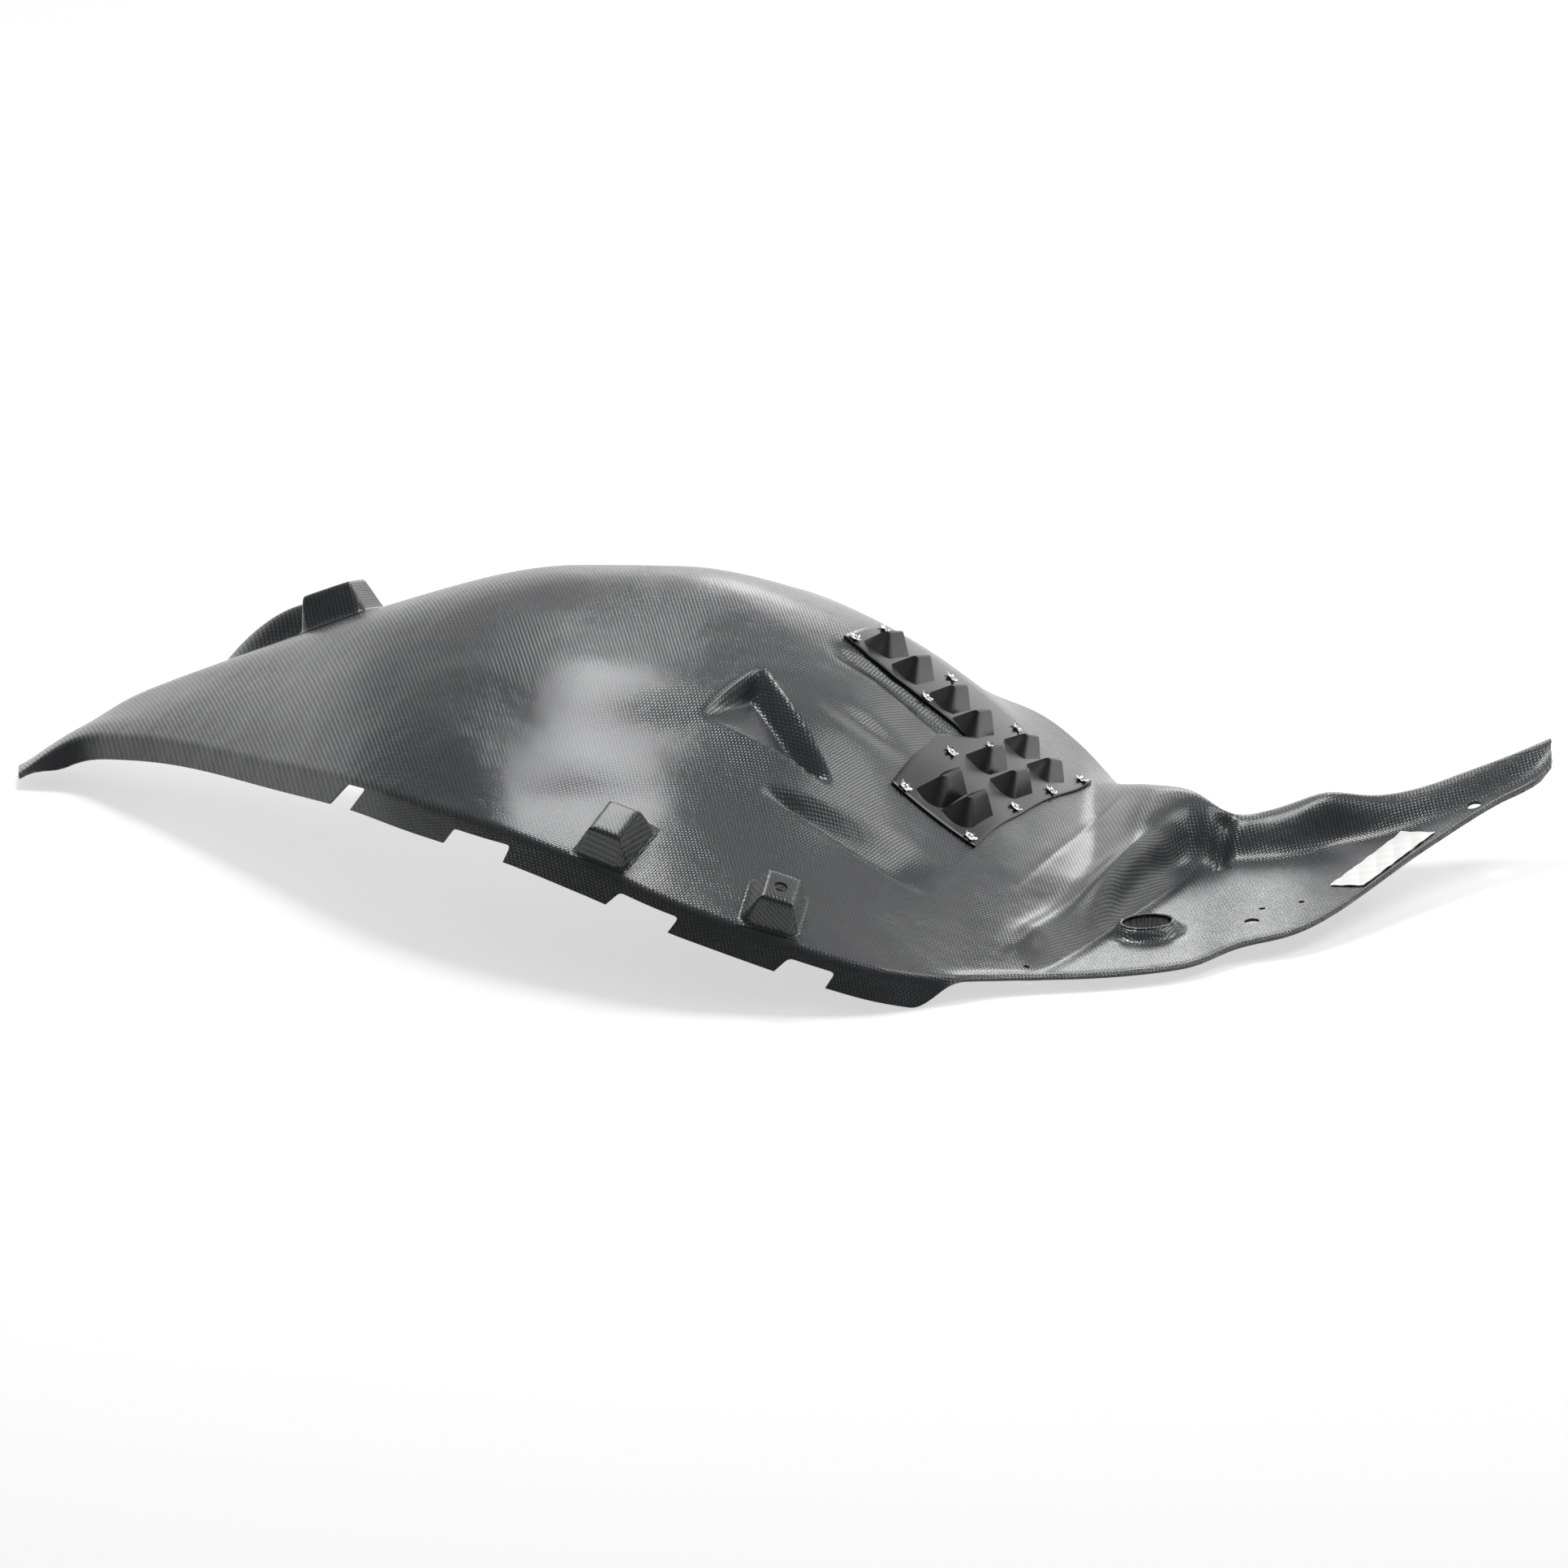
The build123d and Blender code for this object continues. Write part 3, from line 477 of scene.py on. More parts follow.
def stations(coarse, fine):
    """Lines along the liner: wide steps, with finer ones across the detailed places."""
    xs = [TIP_X]
    while xs[-1] < TAIL_X - 0.5 * coarse:
        dense = any(low < xs[-1] < high for low, high, _, _, _ in DETAILS)
        xs.append(xs[-1] + (fine if dense else coarse))
    xs[-1] = TAIL_X
    return xs


def boss_seat(boss):
    (x, y), heading = boss[0], boss[1]
    return frame_at(x, y, heading_of_edge(x) if heading is None else heading)


def boss_distance(boss, u, v):
    """Distance outside the rounded base outline of a boss, less than zero within it."""
    wide, deep = boss[2]
    qx = np.abs(u) - (wide / 2 - BOSS_CORNER)
    qy = np.abs(v) - (deep / 2 - BOSS_CORNER)
    return np.hypot(np.maximum(qx, 0), np.maximum(qy, 0)) + np.minimum(np.maximum(qx, qy), 0) - BOSS_CORNER


def boss_points(boss):
    """Grid of points over one boss and a narrow margin of the sheet round it, and their grain places."""
    seat = np.array(boss_seat(boss))
    half = np.array(boss[2]) / 2 + BOSS_MARGIN
    bu, bv = np.meshgrid(*(np.linspace(-h, h, BOSS_FIT_LINES) for h in half), indexing="ij")
    spots = seat[:3, 3] + bu[..., None] * seat[:3, 0] + bv[..., None] * seat[:3, 1]
    ground = np.array([[float(skin_z(p[0], p[1])) - p[2] for p in row] for row in spots]) * seat[2, 2]
    powers = [(i, j) for i in range(BOSS_FIT_TERMS) for j in range(BOSS_FIT_TERMS - i)]
    terms = np.stack([(bu ** i * bv ** j).ravel() for i, j in powers], axis=1)
    fit = np.linalg.lstsq(terms, ground.ravel(), rcond=None)[0]
    counts = [int(h / BOSS_LINE_STEP) for h in half]
    u, v = np.meshgrid(*(np.linspace(-h, h, n) for h, n in zip(half, counts)), indexing="ij")
    w = sum(c * u ** i * v ** j for c, (i, j) in zip(fit, powers))
    rise = boss[3] * soft_ramp(-boss_distance(boss, u, v) / boss[4], BOSS_SOFT)
    w = w + rise + BOSS_LIFT
    points = seat[:3, 3] + sum(q[..., None] * seat[:3, k] for k, q in enumerate((u, v, w)))
    places = np.stack((points[..., 0], points[..., 1] + BOSS_GRAIN_SHEAR * points[..., 2]), axis=2) * MM
    return points, places


def press_port(points):
    """Raises the collar of the oval port."""
    skin = points[:, SKIRT_LINES + CREASE_LINES:, :]
    seat = np.array(frame_at(*PORT_AT, PORT_TURN))
    local = (skin - seat[:3, 3]) @ seat[:3, :3]
    rx, ry = PORT_L / 2 + PORT_RIM, PORT_W / 2 + PORT_RIM
    share = np.hypot(local[..., 0] / rx, local[..., 1] / ry)
    distance = (share - 1) * ry
    near = (np.abs(local[..., 2]) < PORT_LEVELS) & (distance < PORT_SPREAD)
    rise = np.where(near, PORT_H * soft_ramp(PORT_START - distance / PORT_WALL, PORT_SOFT), 0)
    skin += rise[..., None] * seat[:3, 2]


def surface_places(points):
    """Place of each point on the flat sheet before forming: along X, and by distance across it."""
    runs = np.linalg.norm(np.diff(points, axis=1), axis=2)
    across = np.concatenate((np.zeros((len(points), 1)), np.cumsum(runs, axis=1)), axis=1)
    middle = points.shape[1] // 2
    across += (points[:, middle, 1] - across[:, middle])[:, None]
    return np.stack((points[..., 0], across), axis=2) * MM


def grid_object(name, points, places):
    """Mesh object from a grid of points in drawing millimetres, with its places as the grain's map."""
    nx, ny = points.shape[:2]
    index = np.arange(nx * ny).reshape(nx, ny)
    corners = (index[:-1, :-1], index[1:, :-1], index[1:, 1:], index[:-1, 1:])
    faces = np.stack(corners, axis=-1).reshape(-1, 4)
    mesh = bpy.data.meshes.new(name)
    mesh.from_pydata(((points.reshape(-1, 3) + np.array(HOME)) * MM).tolist(), [], faces.tolist())
    layer = mesh.uv_layers.new(name=GRAIN)
    layer.data.foreach_set("uv", places.reshape(-1, 2)[faces.ravel()].ravel())
    obj = bpy.data.objects.new(name, mesh)
    bpy.context.scene.collection.objects.link(obj)
    return obj


def flat_grain(obj):
    """Grain map for a piece that lies nearly flat."""
    mesh = obj.data
    layer = mesh.uv_layers.new(name=GRAIN)
    for loop in mesh.loops:
        layer.data[loop.index].uv = mesh.vertices[loop.vertex_index].co.xy


def sheet_points(surface):
    """Grid of points over the whole sheet."""
    opts = settings("sheet")
    xs = stations(opts.line_step / MM, opts.fine_step / MM)
    return np.array([section(x, surface) for x in xs])


def home_shift(points):
    """Shift from the drawing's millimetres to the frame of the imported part."""
    low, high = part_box("liner")
    top = points.reshape(-1, 3).max(axis=0)
    return Vector((low[0] / MM - TIP_X, high[1] / MM - top[1], high[2] / MM - top[2]))


HOME = home_shift(np.array([section(x) for x in np.linspace(TIP_X, TAIL_X, 400)]))


def to_frame(p):
    return (Vector(p) + HOME) * MM


def new_object(name, bm):
    """Mesh object in the row frame from a bmesh in drawing millimetres."""
    for v in bm.verts:
        v.co = to_frame(v.co)
    mesh = bpy.data.meshes.new(name)
    bm.to_mesh(mesh)
    bm.free()
    obj = bpy.data.objects.new(name, mesh)
    bpy.context.scene.collection.objects.link(obj)
    return obj


def bridge(bm, rows, closed=False):
    """Faces between rows of vertices, each row a ring where closed."""
    for low, high in zip(rows, rows[1:]):
        for i in range(len(low) if closed else len(low) - 1):
            k = (i + 1) % len(low)
            bm.faces.new((low[i], low[k], high[k], high[i]))


def add_wall(obj, thickness):
    """Gives a surface its wall below the drawn face."""
    solid = obj.modifiers.new("wall", "SOLIDIFY")
    solid.thickness = thickness
    solid.offset = -1


def bake(obj):
    """Applies the object's modifiers to its mesh."""
    graph = bpy.context.evaluated_depsgraph_get()
    plain = obj.data
    made = bpy.data.meshes.new_from_object(obj.evaluated_get(graph))
    obj.modifiers.clear()
    obj.data = made
    bpy.data.meshes.remove(plain)


def smooth(obj, angle):
    """Smooth shading, with edges sharper than the angle in degrees kept crisp."""
    obj.data.shade_smooth()
    obj.data.set_sharp_from_angle(angle=math.radians(angle))


def add_prism(bm, ring, lift):
    """Closed prism from a ring of points to the same ring moved by lift."""
    low = [bm.verts.new(p) for p in ring]
    high = [bm.verts.new(p + lift) for p in ring]
    faces = [bm.faces.new(low), bm.faces.new(high)]
    for i in range(len(ring)):
        k = (i + 1) % len(ring)
        faces.append(bm.faces.new((low[i], low[k], high[k], high[i])))
    bmesh.ops.recalc_face_normals(bm, faces=faces)


def ellipse(rx, ry, count, height=0.0):
    turns = [2 * math.pi * k / count for k in range(count)]
    return [Vector((rx * math.cos(t), ry * math.sin(t), height)) for t in turns]


def rounded(outline, radius):
    """The outline with its corners rounded."""
    spots = []
    for i, p in enumerate(outline):
        before = (outline[i - 1] - p).normalized() * radius
        after = (outline[(i + 1) % len(outline)] - p).normalized() * radius
        for t in np.linspace(0, 1, CORNER_POINTS):
            spots.append(p + before * (1 - t) ** 2 + after * t * t)
    return spots


def cut_through(bm, seat, ring, depth):
    """Prism through a ring on a seat, reaching the depth to both sides of it."""
    normal = seat.to_3x3().col[2]
    add_prism(bm, [seat @ p - normal * depth for p in ring], normal * 2 * depth)


def cut_skirt(bm, x, width, depth, slant, lean):
    """Notch in the skirt, measured up from its free edge, its head moved by the lean."""
    heading = math.radians(heading_of_edge(x))
    outward = Vector((math.sin(heading), -math.cos(heading), 0))
    ahead = Vector(section(x + 3)[0] - section(x - 3)[0]).normalized()
    up = outward.cross(ahead).normalized()
    w, low = width / 2, -NOTCH_BELOW
    foot, back = w + slant, lean * low / depth
    shape = [(back - foot, low), (back + foot, low), (lean + w, depth), (lean - w, depth)]
    edge = Vector(section(x)[0])
    ring = [edge + ahead * a + up * b - outward * NOTCH_REACH for a, b in shape]
    add_prism(bm, rounded(ring, min(NOTCH_R, NOTCH_R_SHARE * width)), outward * 2 * NOTCH_REACH)


def hood_seats():
    """Seat of every louvre: five pairs, the second of each one pitch down the slope."""
    for (x, y), size in HOOD_PAIRS:
        for count in range(2):
            turn = frame_at(x, y, HOOD_YAW, base_z).to_3x3()
            ahead = (turn.col[0] * HOOD_PITCH + turn.col[1] * HOOD_SHIFT) * count
            px, py = x + ahead.x, y + ahead.y
            seat = frame_at(px + HOOD_MIDDLE[0] * size, py + HOOD_MIDDLE[1] * size, HOOD_YAW, base_z)
            place = Vector((px, py, float(base_z(px, py))))
            seat.translation = place + normal_at(base_z, px, py) * (SEAT_GAP + PLATE_T)
            yield seat, size


def cutters():
    """All openings of the sheet as closed prisms."""
    bm = bmesh.new()
    for x, length in NOTCHES:
        cut_skirt(bm, x, length, NOTCH_DEPTH, NOTCH_SLANT, NOTCH_LEAN)
    cut_skirt(bm, SLOT_AT, SLOT_L, SLOT_DEPTH, SLOT_SLANT, SLOT_LEAN)
    for boss in BOSSES:
        wide, deep = boss[2][0] / 2 - BOSS_INSET, boss[2][1] / 2 - BOSS_INSET
        corners = [Vector((sx * wide, sy * deep, 0)) for sx, sy in ((-1, -1), (1, -1), (1, 1), (-1, 1))]
        cut_through(bm, boss_seat(boss), rounded(corners, BOSS_CORNER), BOSS_CUT)
    for at, diameter in ROUND_HOLES:
        cut_through(bm, frame_at(*at, 0), ellipse(diameter / 2, diameter / 2, HOLE_SIDES), HOLE_CUT)
    cut_through(bm, frame_at(*PORT_AT, PORT_TURN), ellipse(PORT_L / 2, PORT_W / 2, PORT_SIDES), PORT_CUT)
    for seat, size in hood_seats():
        ring = [Vector((a * size, b * size, -PLATE_T)) for a, b in WINDOW]
        cut_through(bm, seat, ring, WINDOW_CUT)
    return new_object("cutters", bm)


def sampled(points, count):
    """Evenly spaced places along a run of straight lines, with its corners kept."""
    spots = np.array(points, float)
    runs = np.linalg.norm(np.diff(spots, axis=0), axis=1)
    shares = np.maximum(1, np.round(runs / runs.sum() * (count - 1))).astype(int)
    shares[np.argmax(shares)] += count - 1 - shares.sum()
    line = [spots[0]]
    for p, q, share in zip(spots, spots[1:], shares):
        line += [p + (q - p) * k / share for k in range(1, share + 1)]
    return line


def add_patch(bm, first, last, count):
    """Grid of faces between two runs of places."""
    rows = []
    for t in np.linspace(0, 1, count):
        rows.append([bm.verts.new((*(a * (1 - t) + b * t), 0)) for a, b in zip(first, last)])
    bridge(bm, rows)


def hood_ring(points):
    """Plan of a hood at one level: curved flank, flat cheek and end wall."""
    low, mid, crease, right, rear = [np.array(p, float) for p in points]
    m = np.linalg.norm(mid - low)
    m = m / (m + np.linalg.norm(crease - mid))
    spots = []
    for t in np.linspace(0, 1, FLANK_POINTS):
        a, b, c = (t - m) * (t - 1) / m, t * (t - 1) / (m * (m - 1)), t * (t - m) / (1 - m)
        spots.append(a * low + b * mid + c * crease)
    for p, q in ((crease, right), (right, rear)):
        spots += [p + (q - p) * k / WALL_POINTS for k in range(1, WALL_POINTS + 1)]
    return spots


def cut_openings(obj, holes):
    """Takes the closed forms of another object out of this one."""
    cut = obj.modifiers.new("openings", "BOOLEAN")
    cut.operation = "DIFFERENCE"
    cut.solver = "EXACT"
    cut.object = holes
    bake(obj)
    bpy.data.objects.remove(holes)


def add_lip(bm):
    """Rolled lip round the mouth of the port."""
    seat = frame_at(*PORT_AT, PORT_TURN)
    rings = []
    for grow, height in PORT_LIP:
        spots = ellipse(PORT_L / 2 + grow, PORT_W / 2 + grow, PORT_SIDES, PORT_H + height)
        rings.append([bm.verts.new(seat @ p) for p in spots])
    bridge(bm, rings, closed=True)


def node(tree, kind, **values):
    made = tree.nodes.new(kind)
    for name, value in values.items():
        setattr(made, name, value)
    return made


def math_node(tree, operation, a, b=None):
    """Output of a new Math node fed by sockets or plain numbers."""
    made = node(tree, "ShaderNodeMath", operation=operation)
    for socket, value in zip(made.inputs, (a, b)):
        if hasattr(value, "links"):
            tree.links.new(value, socket)
        elif value is not None:
            socket.default_value = value
    return made.outputs[0]


def weave_group():
    """Embossed woven grain: height of the crossing threads."""
    name = "Woven grain"
    if name in bpy.data.node_groups:
        return bpy.data.node_groups[name]
    tree = bpy.data.node_groups.new(name, "ShaderNodeTree")
    tree.interface.new_socket("Vector", in_out="INPUT", socket_type="NodeSocketVector")
    pitch = tree.interface.new_socket("Pitch", in_out="INPUT", socket_type="NodeSocketFloat")
    pitch.default_value = 2.0 * MM
    turn = tree.interface.new_socket("Turn", in_out="INPUT", socket_type="NodeSocketFloat")
    turn.default_value = math.radians(GRAIN_TURN)
    tree.interface.new_socket("Height", in_out="OUTPUT", socket_type="NodeSocketFloat")
    start = node(tree, "NodeGroupInput")
    end = node(tree, "NodeGroupOutput")
    turned = node(tree, "ShaderNodeVectorRotate", rotation_type="Z_AXIS")
    tree.links.new(start.outputs["Vector"], turned.inputs["Vector"])
    tree.links.new(start.outputs["Turn"], turned.inputs["Angle"])
    parts = node(tree, "ShaderNodeSeparateXYZ")
    tree.links.new(turned.outputs["Vector"], parts.inputs["Vector"])
    u = math_node(tree, "DIVIDE", parts.outputs["X"], start.outputs["Pitch"])
    v = math_node(tree, "DIVIDE", parts.outputs["Y"], start.outputs["Pitch"])
    threads = []
    for value in (u, v):
        wave = math_node(tree, "SINE", math_node(tree, "MULTIPLY", value, math.pi))
        threads.append(math_node(tree, "ABSOLUTE", wave))
    cell = math_node(tree, "ADD", math_node(tree, "FLOOR", u), math_node(tree, "FLOOR", v))
    over = math_node(tree, "FLOORED_MODULO", cell, 2.0)
    crossing = math_node(tree, "MULTIPLY", threads[0], over)
    other = math_node(tree, "MULTIPLY", threads[1], math_node(tree, "SUBTRACT", 1.0, over))
    tree.links.new(math_node(tree, "ADD", crossing, other), end.inputs["Height"])
    return tree


def speck_group():
    """Broad cloudy unevenness with fine specks, for finish and handling marks."""
    name = "Handling marks"
    if name in bpy.data.node_groups:
        return bpy.data.node_groups[name]
    tree = bpy.data.node_groups.new(name, "ShaderNodeTree")
    scale = tree.interface.new_socket("Scale", in_out="INPUT", socket_type="NodeSocketFloat")
    scale.default_value = 12.0
    tree.interface.new_socket("Cloud", in_out="OUTPUT", socket_type="NodeSocketFloat")
    tree.interface.new_socket("Specks", in_out="OUTPUT", socket_type="NodeSocketFloat")
    start = node(tree, "NodeGroupInput")
    end = node(tree, "NodeGroupOutput")
    place = node(tree, "ShaderNodeTexCoord")
    cloud = node(tree, "ShaderNodeTexNoise")
    cloud.inputs["Detail"].default_value = 5.0
    tree.links.new(place.outputs["Object"], cloud.inputs["Vector"])
    tree.links.new(start.outputs["Scale"], cloud.inputs["Scale"])
    specks = node(tree, "ShaderNodeTexNoise")
    specks.inputs["Detail"].default_value = 3.0
    tree.links.new(place.outputs["Object"], specks.inputs["Vector"])
    tree.links.new(math_node(tree, "MULTIPLY", start.outputs["Scale"], 60.0), specks.inputs["Scale"])
    tree.links.new(cloud.outputs["Fac"], end.inputs["Cloud"])
    tree.links.new(specks.outputs["Fac"], end.inputs["Specks"])
    return tree


def new_material(name):
    mat = bpy.data.materials.new(name)
    mat.use_nodes = True
    return mat, mat.node_tree, mat.node_tree.nodes["Principled BSDF"]


def place_group(tree, group, **values):
    made = node(tree, "ShaderNodeGroup", node_tree=group)
    for name, value in values.items():
        made.inputs[name].default_value = value
    return made


def ramp(tree, fac, low, high, start=NOISE_SPAN[0], end=NOISE_SPAN[1]):
    """Colour that goes from low to high as the factor goes from start to end."""
    made = node(tree, "ShaderNodeValToRGB")
    made.color_ramp.elements[0].position = start
    made.color_ramp.elements[0].color = (*low, 1)
    made.color_ramp.elements[1].position = end
    made.color_ramp.elements[1].color = (*high, 1)
    tree.links.new(fac, made.inputs["Fac"])
    return made.outputs["Color"]


def value_range(tree, fac, low, high):
    """Value that goes from low to high over the span that a noise mostly fills."""
    made = node(tree, "ShaderNodeMapRange")
    made.inputs["From Min"].default_value = NOISE_SPAN[0]
    made.inputs["From Max"].default_value = NOISE_SPAN[1]
    made.inputs["To Min"].default_value = low
    made.inputs["To Max"].default_value = high
    tree.links.new(fac, made.inputs["Value"])
    return made.outputs["Result"]


def bump(tree, shader, height, distance, strength):
    made = node(tree, "ShaderNodeBump")
    made.inputs["Strength"].default_value = strength
    made.inputs["Distance"].default_value = distance
    tree.links.new(height, made.inputs["Height"])
    tree.links.new(made.outputs["Normal"], shader.inputs["Normal"])


def tinted(colour, share):
    return tuple(min(1.0, c * share) for c in colour)


def sheet_material():
    opts = settings("sheet")
    mat, tree, shader = new_material("woven grain plastic with painted sheen")
    place = node(tree, "ShaderNodeUVMap", uv_map=GRAIN)
    weave = place_group(tree, weave_group(), Pitch=opts.weave_pitch)
    tree.links.new(place.outputs["UV"], weave.inputs["Vector"])
    marks = place_group(tree, speck_group(), Scale=9.0)
    # Base colour follows the weave: the thread crossings are painted lighter as a painted sheen, and the
    # grooves between them are painted darker as painted shade. The cloud adds a faint random tone.
    painted_sheen_and_tone = math_node(tree, "MULTIPLY_ADD", marks.outputs["Cloud"], 0.3)
    tree.links.new(weave.outputs["Height"], painted_sheen_and_tone.node.inputs[2])
    colour = ramp(tree, painted_sheen_and_tone, tinted(opts.colour, 0.25), tinted(opts.colour, 1.9), start=0.35, end=1.1)
    tree.links.new(colour, shader.inputs["Base Color"])
    rough = value_range(tree, weave.outputs["Height"], 0.5, 0.2)
    tree.links.new(rough, shader.inputs["Roughness"])
    tree.links.new(value_range(tree, weave.outputs["Height"], 0.0, 0.5), shader.inputs["Coat Weight"])
    shader.inputs["Coat Roughness"].default_value = 0.22
    waves = place_group(tree, speck_group(), Scale=14.0)
    uneven = math_node(tree, "MULTIPLY_ADD", waves.outputs["Cloud"], opts.unevenness / opts.weave_depth)
    tree.links.new(weave.outputs["Height"], uneven.node.inputs[2])
    bump(tree, shader, uneven, distance=opts.weave_depth, strength=1.0)
    return mat


def plate_material():
    opts = settings("vent")
    mat, tree, shader = new_material("satin black plastic")
    marks = place_group(tree, speck_group(), Scale=14.0)
    colour = ramp(tree, marks.outputs["Cloud"], tinted(opts.colour, 0.8), tinted(opts.colour, 1.25))
    tree.links.new(colour, shader.inputs["Base Color"])
    tree.links.new(value_range(tree, marks.outputs["Cloud"], 0.2, 0.3), shader.inputs["Roughness"])
    bump(tree, shader, marks.outputs["Specks"], distance=0.1 * MM, strength=0.25)
    return mat


def rivet_material():
    opts = settings("vent")
    mat, tree, shader = new_material("bare rivet metal")
    shader.inputs["Metallic"].default_value = 1.0
    marks = place_group(tree, speck_group(), Scale=160.0)
    colour = ramp(tree, marks.outputs["Cloud"], tinted(opts.rivet_colour, 0.75), opts.rivet_colour)
    tree.links.new(colour, shader.inputs["Base Color"])
    tree.links.new(value_range(tree, marks.outputs["Cloud"], 0.18, 0.34), shader.inputs["Roughness"])
    return mat


def label_material():
    opts = settings("label")
    mat, tree, shader = new_material("blank label film")
    marks = place_group(tree, speck_group(), Scale=30.0)
    colour = ramp(tree, marks.outputs["Cloud"], tinted(opts.colour, 0.94), opts.colour)
    tree.links.new(colour, shader.inputs["Base Color"])
    tree.links.new(value_range(tree, marks.outputs["Cloud"], 0.4, 0.55), shader.inputs["Roughness"])
    return mat


class ARCHLINER_OT_sheet(bpy.types.Operator):
    """Build the formed sheet with its skirt, hollows, port collar and openings"""

    bl_idname = "arch_liner.sheet"
    bl_label = "Formed Sheet"

    def execute(self, context):
        points = sheet_points(skin_z)
        places = surface_places(sheet_points(base_z))
        press_port(points)
        liner = grid_object("formed_sheet", points, places)
        add_wall(liner, settings("sheet").thickness)
        bake(liner)
        cut_openings(liner, cutters())
        smooth(liner, 60)
        liner.data.materials.append(sheet_material())
        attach(liner, "root")
        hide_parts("liner")
        return {"FINISHED"}


class ARCHLINER_OT_bosses(bpy.types.Operator):
    """Build the three hollow bosses that rise out of the sheet"""

    bl_idname = "arch_liner.bosses"
    bl_label = "Bosses"

    def execute(self, context):
        for count, boss in enumerate(BOSSES, 1):
            shell = grid_object("boss_%d" % count, *boss_points(boss))
            add_wall(shell, settings("sheet").thickness)
            bake(shell)
            if boss[5]:
                bm = bmesh.new()
                ring = ellipse(BOSS_HOLE_D / 2, BOSS_HOLE_D / 2, BOSS_HOLE_SIDES, boss[3])
                cut_through(bm, boss_seat(boss), ring, BOSS_HOLE_CUT)
                cut_openings(shell, new_object("hole", bm))
            smooth(shell, 60)
            shell.data.materials.append(bpy.data.materials["woven grain plastic with painted sheen"])
            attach(shell, "root")
        return {"FINISHED"}


class ARCHLINER_OT_port(bpy.types.Operator):
    """Build the rolled lip of the oval port"""

    bl_idname = "arch_liner.port"
    bl_label = "Port Lip"

    def execute(self, context):
        bm = bmesh.new()
        add_lip(bm)
        lip = new_object("port_lip", bm)
        smooth(lip, 50)
        flat_grain(lip)
        lip.data.materials.append(bpy.data.materials["woven grain plastic with painted sheen"])
        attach(lip, "root")
        return {"FINISHED"}


class ARCHLINER_OT_vent(bpy.types.Operator):
    """Build the louvre plate and its ten hollow hoods"""

    bl_idname = "arch_liner.vent"
    bl_label = "Louvre Plate"

    def execute(self, context):
        finish = plate_material()
        plate = new_object("louvre_plate", self.plate_surface())
        self.thicken(plate, PLATE_T, round_off=0.5, angle=60)
        cut_openings(plate, self.throats())
        hoods = new_object("louvre_hoods", self.hood_shells())
        self.thicken(hoods, HOOD_WALL, round_off=0.35, angle=40)
        for piece, angle in ((plate, 40), (hoods, 17)):
            smooth(piece, angle)
            piece.data.materials.append(finish)
            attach(piece, "root")
        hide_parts("vent_plate")
        return {"FINISHED"}

    def thicken(self, obj, wall, round_off, angle):
        """Gives the surface its wall and rounds the edges."""
        add_wall(obj, wall * MM)
        edge = obj.modifiers.new("edges", "BEVEL")
        edge.width = round_off * MM
        edge.segments = 2
        edge.limit_method = "ANGLE"
        edge.angle_limit = math.radians(angle)
        bake(obj)

    def plate_surface(self):
        """Upper face of the plate: the strip and the block below it."""
        bm = bmesh.new()
        low = sampled(STRIP_LOW, 34) + sampled(STRIP_JOIN, 23)[1:]
        add_patch(bm, low, sampled(STRIP_HIGH, len(low)), 25)
        add_patch(bm, sampled(BLOCK_LEFT, 50), sampled(BLOCK_RIGHT, 50), 23)
        bmesh.ops.remove_doubles(bm, verts=bm.verts, dist=0.05)
        for v in bm.verts:
            x, y = v.co.x, v.co.y
            v.co.z = base_z(x, y) + (SEAT_GAP + PLATE_T) / normal_at(base_z, x, y).z
        bm.normal_update()
        bmesh.ops.reverse_faces(bm, faces=[f for f in bm.faces if f.normal.z < 0])
        return bm

    def throats(self):
        """Openings of the plate below the hoods, as closed prisms."""
        bm = bmesh.new()
        for seat, size in hood_seats():
            ring = [Vector((a * size, b * size, -PLATE_T / 2)) for a, b in WINDOW]
            cut_through(bm, seat, ring, THROAT_CUT)
        return new_object("throats", bm)

    def hood_shells(self):
        shells = bmesh.new()
        for seat, size in hood_seats():
            self.add_hood(shells, seat, size)
        return shells

    def add_hood(self, shells, seat, size):
        """Outer skin of one hood, open towards its mouth."""
        bm = bmesh.new()
        foot, head = hood_ring(HOOD_BASE), hood_ring(HOOD_TOP)
        rings = []
        for t in np.linspace(0, 1, HOOD_LEVELS):
            height = -0.5 * PLATE_T / size + (HOOD_H + 0.5 * PLATE_T / size) * t
            rings.append([bm.verts.new((*(a * (1 - t) + b * t), height)) for a, b in zip(foot, head)])
        bridge(bm, rings)
        bm.faces.new(rings[-1])
        bmesh.ops.bisect_plane(
            bm, geom=[*bm.verts, *bm.edges, *bm.faces], plane_co=(0, 0, HOOD_SILL),
            plane_no=(1, -MOUTH_SKEW, -MOUTH_LEAN), clear_inner=True)
        made = {v: shells.verts.new(seat @ (v.co * size)) for v in bm.verts}
        for face in bm.faces:
            shells.faces.new([made[v] for v in face.verts])
        bm.free()


